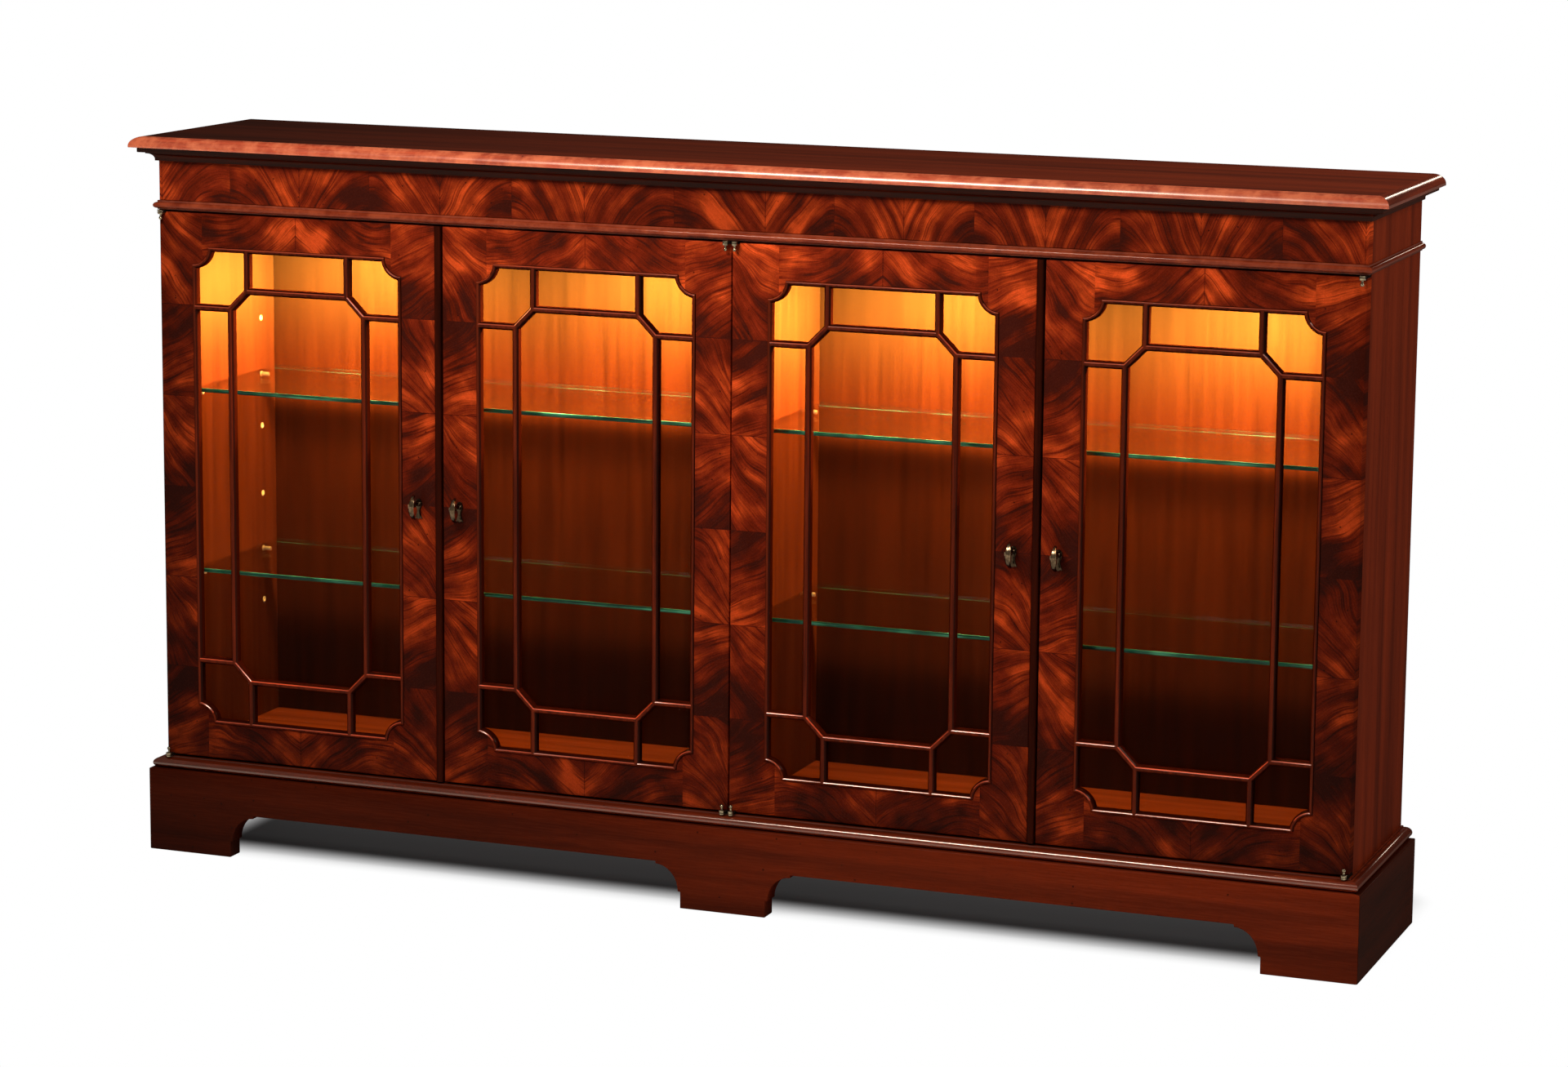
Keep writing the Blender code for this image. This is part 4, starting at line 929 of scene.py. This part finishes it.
# Each finish: what makes it, and its values
FINISHES = {
    "frieze_veneer": (frieze_veneer, {}),
    # Painted light: the pair after each centre is how light a leaf is drawn at its left and right edge
    "door_1_veneer": (door_veneer, dict(centre=DOOR_CENTRES[1], painted_light_across=(0.74, 1.18))),
    "door_2_veneer": (door_veneer, dict(centre=DOOR_CENTRES[2], painted_light_across=(1.12, 1.28))),
    "door_3_veneer": (door_veneer, dict(centre=DOOR_CENTRES[3], painted_light_across=(1.32, 1.25))),
    "door_4_veneer": (door_veneer, dict(centre=DOOR_CENTRES[4], painted_light_across=(1.30, 0.98))),
    # Painted light: the top is drawn darker at its left end and lighter at its right
    "top_timber": (plain, dict(
        grain="X", share=0.85, band=0.020, gloss=0.35, shine=0.030, painted_light_ends=(0.45, 1.8))),
    # Painted highlight: the rounded front edge of the top is drawn over four times lighter, with patches in
    # the highlight's orange
    "top_edge_front": (plain, dict(
        grain="X", share=4.6, band=0.006, gloss=0.28, shine=0.110, specks=0.8, wear_and_highlight=(0.60, 0.125, 0.045))),
    "top_edge_side": (plain, dict(grain="Y", share=1.6, band=0.006, gloss=0.13, shine=0.050, specks=0.5)),
    # Painted shade: the cornice under the top's edge is drawn darker than the plain mahogany
    "cornice_front": (plain, dict(grain="X", share=0.6, band=0.004, gloss=0.14, shine=0.010, specks=0.5)),
    "cornice_side": (plain, dict(grain="Y", share=0.6, band=0.004, gloss=0.16, shine=0.012, specks=0.3)),
    "waist_front": (plain, dict(
        grain="X", share=2.1, band=0.005, gloss=0.12, shine=0.018, specks=0.6, wear_and_highlight=(0.26, 0.042, 0.014))),
    "waist_side": (plain, dict(grain="Y", share=1.6, band=0.005, gloss=0.13, shine=0.030, specks=0.3)),
    # Painted light: the base moulding is drawn darker at its left end and lighter at its right
    "base_front": (plain, dict(
        grain="X", share=1.3, band=0.006, gloss=0.17, shine=0.090, specks=0.5, painted_light_ends=(0.6, 1.3))),
    "base_side": (plain, dict(grain="Y", share=1.0, band=0.006, gloss=0.14, shine=0.030, specks=0.3)),
    "side_timber": (plain, dict(grain="Z", share=2.1, band=0.020, gloss=0.34, shine=0.006, lined=True)),
    # Painted light: the plinth is drawn darker at its left end and lighter at its right
    "plinth_front": (plain, dict(
        grain="X", share=0.9, band=0.016, gloss=0.26, shine=0.003, specks=0.9, painted_light_ends=(0.46, 1.75))),
    "plinth_side": (plain, dict(grain="Y", share=0.45, band=0.012, gloss=0.32, shine=0.009, specks=0.5)),
    "worn_front": (plain, dict(
        grain="X", share=1.3, band=0.004, gloss=0.16, shine=0.020, specks=0.4, wear_and_highlight=(0.22, 0.065, 0.03))),
    "worn_side": (plain, dict(
        grain="Y", share=1.1, band=0.004, gloss=0.16, shine=0.030, specks=0.4, wear_and_highlight=(0.20, 0.06, 0.028))),
    "bar_timber": (bar_finish, {}),
    # Painted highlight: a much lighter copy of the mahogany for the bar faces that look up and forward
    "rubbed_bar": (plain, dict(grain="X", share=3.4, band=0.003, gloss=0.20, shine=0.090)),
    # Painted shade: the meeting bead is drawn very dark, as the shade of the gap between the doors
    "bead_timber": (plain, dict(grain="Z", share=0.3, band=0.004, gloss=0.14, shine=0.002)),
    "lining_upright": (lining, dict(grain="Z", outside=True)),
    # Painted light: the partition is drawn lighter than the back board
    "lining_wall": (lining, dict(grain="Z", share=WALL_PAINTED_LIGHT)),
    "lining_level": (lining, dict(grain="X")),
    # Painted light: the bay floors are drawn almost four times lighter than the back board
    "lining_floor": (lining, dict(grain="X", share=3.8)),
    "hinge_brass": (brass, dict(bright=(0.38, 0.29, 0.17), dark=(0.12, 0.085, 0.05), roughness=0.20)),
    "plate_bronze": (brass, dict(bright=(0.075, 0.046, 0.024), dark=(0.03, 0.019, 0.010), roughness=0.16)),
    # Painted shade: the drops are drawn black towards their foot
    "bow_bronze": (brass, dict(
        bright=(0.27, 0.172, 0.09), dark=(0.12, 0.072, 0.036), roughness=0.20,
        span=(DROP_LOW.z + 0.004, DROP_HIGH.z - 0.012))),
    # Patina that is also painted shade: the hinge plates are drawn near black
    "dark_patina": (dark_patina, {}),
    "bright_brass": (brass, dict(bright=(1.0, 0.86, 0.45), dark=(0.95, 0.74, 0.32), roughness=0.6)),
    "lamp_trim": (brass, dict(bright=(0.62, 0.58, 0.50), dark=(0.42, 0.38, 0.32), roughness=0.35)),
    "lamp_lens": (glowing_lens, {}),
    "door_glass": (pane_glass, dict(
        head_on=0.0006, slant=0.2, tint=(0.985, 0.99, 0.985), shade=pane_shade)),
    "shelf_glass": (pane_glass, dict(
        head_on=0.01, slant=0.55, tint=(0.975, 0.99, 0.98), shade=shelf_shade, edge=shelf_edge)),
}
MATERIALS = {}


def material(name):
    """A finish by its name, made when it is first asked for."""
    if name not in MATERIALS:
        maker, values = FINISHES[name]
        MATERIALS[name] = maker(name, **values)
    return MATERIALS[name]


# The pieces

class CABINET_OT_top(bpy.types.Operator):
    """Top board with its rounded edge at the front and both sides"""

    bl_idname = "cabinet.top"
    bl_label = "Top board"

    edge_width = 0.017
    lower_arris = 0.0004
    lip_height = 0.002

    def execute(self, context):
        low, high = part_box("top_board")
        tip = high.x - CASE_HALF
        levels = [(tip - self.lower_arris, low.z), (tip, low.z + self.lower_arris)]
        levels += quarter_round(tip - self.edge_width, tip, low.z + self.lip_height, high.z, 18)
        piece = drawn_block("top_board_dressed", levels)
        finishes = ("top_timber", "top_edge_side", "top_edge_front")
        finish_piece(piece, "case", finishes, ["top_board"])
        for face in piece.data.polygons:
            edge = face.center.z < high.z - 0.0001 and abs(face.normal.z) < 0.9999
            if edge and face.normal.y < -0.05:
                face.material_index = 2
            elif edge and abs(face.normal.x) > 0.05:
                face.material_index = 1
        return {"FINISHED"}


class CABINET_OT_mouldings(bpy.types.Operator):
    """Cornice, waist and base mouldings round the front and both sides"""

    bl_idname = "cabinet.mouldings"
    bl_label = "Mouldings"

    def cornice(self, foot, top, reach):
        """A fillet, a cove and a shelf, as overhang and height."""
        fillet, cove_out, cove_depth = 0.004, 0.0136, 0.0096
        cove_foot = foot + 0.0018
        shelf_foot = top - 0.0067
        cove_rise = shelf_foot - 0.002 - foot - 0.0018
        levels = [(fillet, foot), (fillet, cove_foot)]
        for i in range(13):
            turn = math.pi / 2 * (1 - i / 12)
            overhang = cove_out - cove_depth * math.sin(turn)
            levels.append((overhang, cove_foot + cove_rise * math.cos(turn)))
        levels += [(cove_out, shelf_foot), (reach - 0.0006, shelf_foot), (reach, shelf_foot + 0.0006)]
        return levels + [(reach, top - 0.0012), (reach - 0.0012, top)]

    def waist(self, foot, top, reach):
        """A rounded nose between two thin fillets."""
        fillet = 0.0021
        levels = [(fillet, foot), (fillet, foot + 0.0014)]
        levels += rounded_nose(fillet, reach, foot + 0.0015, top - 0.0025, 16)
        return levels + [(fillet, top - 0.0024), (fillet, top - 0.0003), (0.0018, top)]

    def base(self, foot, top, reach):
        """A rounded nose under a thin fillet."""
        fillet = 0.0032
        levels = [(0.0050, foot)]
        levels += rounded_nose(0.0064, reach, foot, top - 0.0016, 20)
        return levels + [(fillet, top - 0.0016), (fillet, top - 0.0003), (0.0029, top)]

    def execute(self, context):
        inner = CASE_HALF + GAP
        past = 0.01
        for node, levels_of, wall, slot, finishes in (
                ("cornice_moulding", self.cornice, DOOR_FACE, "dark_mahogany",
                 ("cornice_front", "cornice_side")),
                ("waist_moulding", self.waist, CASE_FRONT, "flame_mahogany",
                 ("waist_front", "waist_side")),
                ("base_moulding", self.base, CASE_FRONT, "dark_mahogany",
                 ("base_front", "base_side"))):
            low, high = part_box(node)
            piece = drawn_block(node + "_dressed", levels_of(low.z, high.z, high.x - CASE_HALF))
            # What the case fills is cut away, which leaves three mitred lengths
            cut(piece, block(
                "core", (-inner, wall - GAP, low.z - past), (inner, CASE_BACK + past, high.z + past)))
            finish_piece(piece, "case", finishes, [node])
            # Faces of the two side lengths take the second finish, with the grain front to back
            for face in piece.data.polygons:
                if abs(face.normal.x) > abs(face.normal.y) and abs(face.normal.x) > 0.05:
                    face.material_index = 1
        return {"FINISHED"}


class CABINET_OT_case(bpy.types.Operator):
    """Veneer and grain on the case boards, whose shapes the frame already has"""

    bl_idname = "cabinet.case"
    bl_label = "Case boards"

    def execute(self, context):
        refinish_node("frieze_board", "frieze_veneer")
        refinish_node("side_left", "side_timber")
        refinish_node("side_right", "side_timber")
        refinish_node("back_panel", "lining_upright")
        refinish_node("centre_partition", "lining_wall")
        refinish_node("bottom_panel", "lining_floor")
        refinish_node("ceiling_panel", "lining_level")
        return {"FINISHED"}


class CABINET_OT_plinth(bpy.types.Operator):
    """Plinth boards with worn arrises and distress marks"""

    bl_idname = "cabinet.plinth"
    bl_label = "Plinth"

    def execute(self, context):
        arris = context.scene.cabinet_sizes.arris
        for node, finishes in (
                ("plinth_front", ("plinth_front", "worn_front")),
                ("plinth_left", ("plinth_side", "worn_side")),
                ("plinth_right", ("plinth_side", "worn_side"))):
            piece = rounded_copy(node, arris, 3, 40, worn_slot=1)
            slots = [face.material_index for face in piece.data.polygons]
            finish_piece(piece, "case", finishes, [node])
            for face, index in zip(piece.data.polygons, slots):
                face.material_index = index
        return {"FINISHED"}


class CABINET_OT_doors(bpy.types.Operator):
    """Veneered leaves and their meeting beads"""

    bl_idname = "cabinet.doors"
    bl_label = "Door leaves"

    leaf_wear = 0.6
    bead_round = 0.0034

    def execute(self, context):
        for n in DOORS:
            node = f"door_{n}_frame"
            piece = rounded_copy(node, context.scene.cabinet_sizes.arris * self.leaf_wear, 2, 40)
            finish_piece(piece, f"door_{n}", [f"door_{n}_veneer"], [node])
        for n in (1, 3):
            node = f"door_{n}_meeting_bead"
            low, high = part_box(node)
            piece = block(node + "_dressed", low, high)
            edit(piece, "EDGE")
            pick_edges(piece, lambda edge: abs(edge.verts[0].co.z - edge.verts[1].co.z) > 0.1
                       and edge.verts[0].co.y < low.y + 0.001)
            bpy.ops.mesh.bevel(offset=self.bead_round, segments=8, profile=0.55, affect="EDGES")
            bpy.ops.object.mode_set(mode="OBJECT")
            finish_piece(piece, f"door_{n}", ["bead_timber"], [node])
        return {"FINISHED"}


class CABINET_OT_lattice(bpy.types.Operator):
    """Moulded glazing bars of the four doors"""

    bl_idname = "cabinet.lattice"
    bl_label = "Lattice bars"

    ledge = 0.0012
    rise = 0.0011

    def execute(self, context):
        for n in DOORS:
            node = f"door_{n}_lattice"
            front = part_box(node)[0].y
            piece = merged_copy(node)
            edit(piece)
            pick_faces(piece, lambda face: face.normal.y < -0.99
                       and face.calc_center_median().y < front + 0.0002)
            bpy.ops.mesh.inset(thickness=self.ledge, depth=self.rise, use_even_offset=True)
            bpy.ops.object.mode_set(mode="OBJECT")
            soften(piece, context.scene.cabinet_sizes.bar_arris, 3, 18)
            finish_piece(piece, f"door_{n}", ["bar_timber", "rubbed_bar"], [node], 60)
            # Painted highlight: faces of the bars that look up and forward take the lighter second finish
            for face in piece.data.polygons:
                highlight_and_wear = 0.35 < face.normal.z < 0.95 and face.normal.y < -0.25
                face.material_index = int(highlight_and_wear and face.center.y < front - 0.0003)
        return {"FINISHED"}


class CABINET_OT_glazing(bpy.types.Operator):
    """Clear panes in the doors and the glass shelves with green edges"""

    bl_idname = "cabinet.glazing"
    bl_label = "Glass"

    def execute(self, context):
        for n in DOORS:
            refinish_node(f"door_{n}_glass", "door_glass")
        for bay in ("left", "right"):
            for level in ("lower", "upper"):
                refinish_node(f"shelf_{bay}_{level}", "shelf_glass")
        return {"FINISHED"}


class CABINET_OT_sockets(bpy.types.Operator):
    """Brass sockets and pins for the shelves"""

    bl_idname = "cabinet.sockets"
    bl_label = "Sockets and pins"

    depths = (-0.082, 0.111)
    pin_heights = (0.3933, 0.6511)
    socket_heights = (0.317, 0.475, 0.575, 0.733)

    def execute(self, context):
        radius = context.scene.cabinet_sizes.socket_radius
        # A flange set 2 mm into the board, with a hollow in the socket and a peg on the pin
        socket = turned("socket_model", (0, 0, 0), (1, 0, 0), [
            (radius, -0.0020), (radius, 0.0004), (radius - 0.0005, 0.0008),
            (radius - 0.0015, 0.0008), (radius - 0.0018, 0.0001)], 24)
        pin = turned("pin_model", (0, 0, 0), (1, 0, 0), [
            (radius, -0.0020), (radius, 0.0004), (radius - 0.0005, 0.0009), (0.0029, 0.0010),
            (0.0029, 0.0116), (0.0025, 0.0123), (0.0016, 0.0126)], 24)
        sets = []
        for name, wall, hand, socket_heights in (
                ("shelf_sockets_left", -INNER_HALF, 1, self.socket_heights),
                ("shelf_sockets_right", INNER_HALF, -1, self.socket_heights),
                ("shelf_pins_partition_left", -PARTITION_HALF, -1, ()),
                ("shelf_pins_partition_right", PARTITION_HALF, 1, ())):
            pieces = []
            for depth in self.depths:
                for height in socket_heights:
                    pieces.append(own_copy(socket, "socket", (wall, depth, height), hand))
                for height in self.pin_heights:
                    pieces.append(own_copy(pin, "pin", (wall, depth, height), hand))
            sets.append(joined(name, *pieces))
        for model in (socket, pin):
            bpy.data.objects.remove(model)
        for piece in sets:
            finish_piece(piece, "case", ["bright_brass"], smooth_below=35)
        return {"FINISHED"}


class CABINET_OT_hinges(bpy.types.Operator):
    """Pivot hinges with their plates, knuckles, pins and ball finials"""

    bl_idname = "cabinet.hinges"
    bl_label = "Hinges"

    pivot_inset = 0.0055
    pivot_stand = 0.007
    knuckle_radius = 0.0042

    def execute(self, context):
        width = context.scene.cabinet_sizes.metal_arris
        for n in DOORS:
            side = -1 if n in (1, 3) else 1
            pivot = Vector((
                DOOR_CENTRES[n] + side * (LEAF_HALF - self.pivot_inset), DOOR_FACE - self.pivot_stand))
            for end in ("top", "foot"):
                for part, body in (("case", "case"), ("leaf", f"door_{n}")):
                    node = f"door_{n}_hinge_{end}_{part}"
                    piece = rounded_copy(node, width, 2, 40)
                    finishes = ("hinge_brass", "dark_patina")
                    finish_piece(piece, body, finishes, [node], 40)
                    # Faces away from the knuckle, on the plates, take the near-black patina that is also
                    # painted shade
                    for face in piece.data.polygons:
                        face.material_index = int((face.center.xy - pivot).length > self.knuckle_radius)
        return {"FINISHED"}


class CABINET_OT_handles(bpy.types.Operator):
    """Cast handle plates and the bow-shaped drops that hang from them"""

    bl_idname = "cabinet.handles"
    bl_label = "Handles"

    def execute(self, context):
        width = context.scene.cabinet_sizes.metal_arris
        for n in DOORS:
            node = f"door_{n}_handle_plate"
            piece = rounded_copy(node, width, 2, 35)
            finish_piece(piece, f"door_{n}", ["plate_bronze"], [node], 40)
            node = f"door_{n}_handle_drop"
            piece = rounded_copy(node, width, 3, 20)
            finish_piece(piece, f"drop_{n}", ["bow_bronze"], [node], 60)
        return {"FINISHED"}


class CABINET_OT_lights(bpy.types.Operator):
    """Round lamps under the ceiling, with their glowing lenses and the light that they give"""

    bl_idname = "cabinet.lights"
    bl_label = "Cabinet lamps"

    rim = 0.0024
    lens_radius = 0.0231
    lamp_width = 0.044
    lamp_drop = 0.0015

    def execute(self, context):
        settings = context.scene.cabinet_light
        rim = self.rim
        for n in DOORS:
            node = f"light_{n}"
            low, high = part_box(node)
            middle = ((low.x + high.x) / 2, (low.y + high.y) / 2, high.z)
            radius = (high.x - low.x) / 2
            depth = high.z - low.z
            profile = [(radius, 0.0), (radius, depth - rim)]
            for i in range(1, 6):
                turn = math.pi / 2 * i / 5
                profile.append((radius - rim * (1 - math.cos(turn)), depth - rim * (1 - math.sin(turn))))
            profile += [
                (0.0238, depth), (0.0230, depth - 0.0012), (0.0200, depth - 0.0016),
                (0.0100, depth - 0.0006), (0.0020, depth - 0.0003)]
            piece = turned(node + "_dressed", middle, (0, 0, -1), profile, 48)
            finish_piece(piece, "case", ["lamp_trim", "lamp_lens"], [node], 35)
            for face in piece.data.polygons:
                offset = Vector((face.center.x - middle[0], face.center.y - middle[1]))
                if offset.length < self.lens_radius and face.center.z < low.z + 0.003:
                    face.material_index = 1
            place = (middle[0], middle[1], low.z - self.lamp_drop)
            shine = area_lamp(f"cabinet_lamp_{n}", "DISK", self.lamp_width, settings.shelf_lamps, place)
            shine.data.color = settings.lamp_colour
        return {"FINISHED"}


class CABINET_OT_stage(bpy.types.Operator):
    """Pale floor, soft studio light and the camera"""

    bl_idname = "cabinet.stage"
    bl_label = "Stage"

    def execute(self, context):
        settings = context.scene.cabinet_light
        bpy.ops.mesh.primitive_circle_add(vertices=96, radius=60, fill_type="NGON", location=(0, 0, 0))
        floor = bpy.context.active_object
        floor.name = "studio_floor"
        floor.data.materials.append(self.floor_finish())

        world = bpy.data.worlds.new("studio")
        world.use_nodes = True
        backdrop = world.node_tree.nodes["Background"]
        backdrop.inputs["Color"].default_value = (1.0, 1.0, 1.0, 1.0)
        backdrop.inputs["Strength"].default_value = settings.surround
        context.scene.world = world

        self.soft_box("key_light", (-0.3, -1.35, 1.95), (0.0, -0.1, 0.6), 0.9, 0.2, settings.key)
        self.soft_box("fill_light", (1.95, -0.25, 1.65), (0.88, 0.0, 0.8), 0.6, 0.6, settings.fill)
        self.soft_box("edge_light", (0.84, 3.0, 1.72), (0.88, 0.0, 1.0), 0.16, 0.5, settings.edge)
        self.camera(context)
        context.scene.view_settings.view_transform = "Standard"
        return {"FINISHED"}

    def floor_finish(self):
        """Paper that takes the shadow near the cabinet, grey there as painted shade that deepens the
        shadow, and plain white further off.
        """
        half_width, front, back, fade = 0.79, -0.052, 0.25, 0.10
        finish = Finish("studio_paper")
        x, y, _ = finish.split(finish.place())
        beside = (abs(x) - half_width).then("MAXIMUM", 0.0)
        before = (front - y).then("MAXIMUM", y - back).then("MAXIMUM", 0.0)
        away = (beside * beside + before * before).then("SQRT")
        path = finish.add("ShaderNodeLightPath").outputs
        seen = finish.math("MAXIMUM", path["Is Camera Ray"], path["Is Glossy Ray"])
        seen = seen.then("MAXIMUM", path["Is Transmission Ray"])
        # Painted shade: grey paper under the cabinet, darker than the white round it, deepens the shadow
        paper_painted_shade = finish.add("ShaderNodeBsdfDiffuse", {"Color": (0.41, 0.41, 0.41)}).outputs[0]
        white = finish.add("ShaderNodeEmission", {"Color": (1.0, 1.0, 1.0), "Strength": 1.0}).outputs[0]
        return finish.close(finish.mixed(away.ramped(0.0, fade, smooth=True) * seen, paper_painted_shade, white))

    def soft_box(self, name, place, target, width, height, power):
        """A rectangular studio light that faces a target."""
        shine = area_lamp(name, "RECTANGLE", width, power, place)
        shine.data.size_y = height
        shine.rotation_euler = (Vector(target) - Vector(place)).to_track_quat("-Z", "Y").to_euler()

    def camera(self, context):
        """The camera that was fitted to corners and edges of the cabinet in the photograph."""
        data = bpy.data.cameras.new("camera")
        data.sensor_width = 36.0
        data.lens = 96.22
        data.shift_x = -100 / 1920
        data.shift_y = -100 / 1920
        camera = bpy.data.objects.new("camera", data)
        right = Vector((0.93821, 0.34587, 0.01195))
        up = Vector((-0.06795, 0.15024, 0.98631))
        back = Vector((0.33934, -0.92618, 0.16446))
        turn = Matrix((right, up, back)).transposed()
        camera.matrix_world = Matrix.Translation((2.0648, -5.2444, 1.5512)) @ turn.to_4x4()
        context.scene.collection.objects.link(camera)
        context.scene.camera = camera


class CABINET_PT_panel(bpy.types.Panel):
    """Steps that dress the cabinet, in order"""

    bl_idname = "CABINET_PT_panel"
    bl_label = "Display cabinet"
    bl_space_type = "VIEW_3D"
    bl_region_type = "UI"
    bl_category = "Cabinet"

    def draw(self, context):
        for step in STEPS:
            self.layout.operator(step.bl_idname)
        scene = context.scene
        for settings in (scene.cabinet_timber, scene.cabinet_sizes, scene.cabinet_light):
            box = self.layout.box()
            for key in settings.__annotations__:
                box.prop(settings, key)


STEPS = (
    CABINET_OT_top, CABINET_OT_mouldings, CABINET_OT_case, CABINET_OT_plinth, CABINET_OT_doors,
    CABINET_OT_lattice, CABINET_OT_glazing, CABINET_OT_sockets, CABINET_OT_hinges, CABINET_OT_handles,
    CABINET_OT_lights, CABINET_OT_stage,
)
GROUPS = (CABINET_PG_timber, CABINET_PG_sizes, CABINET_PG_light)


def register():
    for made in (*GROUPS, *STEPS, CABINET_PT_panel):
        bpy.utils.register_class(made)
    bpy.types.Scene.cabinet_timber = bpy.props.PointerProperty(type=CABINET_PG_timber)
    bpy.types.Scene.cabinet_sizes = bpy.props.PointerProperty(type=CABINET_PG_sizes)
    bpy.types.Scene.cabinet_light = bpy.props.PointerProperty(type=CABINET_PG_light)


def unregister():
    del bpy.types.Scene.cabinet_light
    del bpy.types.Scene.cabinet_sizes
    del bpy.types.Scene.cabinet_timber
    for made in (CABINET_PT_panel, *reversed(STEPS), *reversed(GROUPS)):
        bpy.utils.unregister_class(made)


def main():
    register()
    bpy.ops.cabinet.top()
    bpy.ops.cabinet.mouldings()
    bpy.ops.cabinet.case()
    bpy.ops.cabinet.plinth()
    bpy.ops.cabinet.doors()
    bpy.ops.cabinet.lattice()
    bpy.ops.cabinet.glazing()
    bpy.ops.cabinet.sockets()
    bpy.ops.cabinet.hinges()
    bpy.ops.cabinet.handles()
    bpy.ops.cabinet.lights()
    bpy.ops.cabinet.stage()


if __name__ == "__main__":
    main()
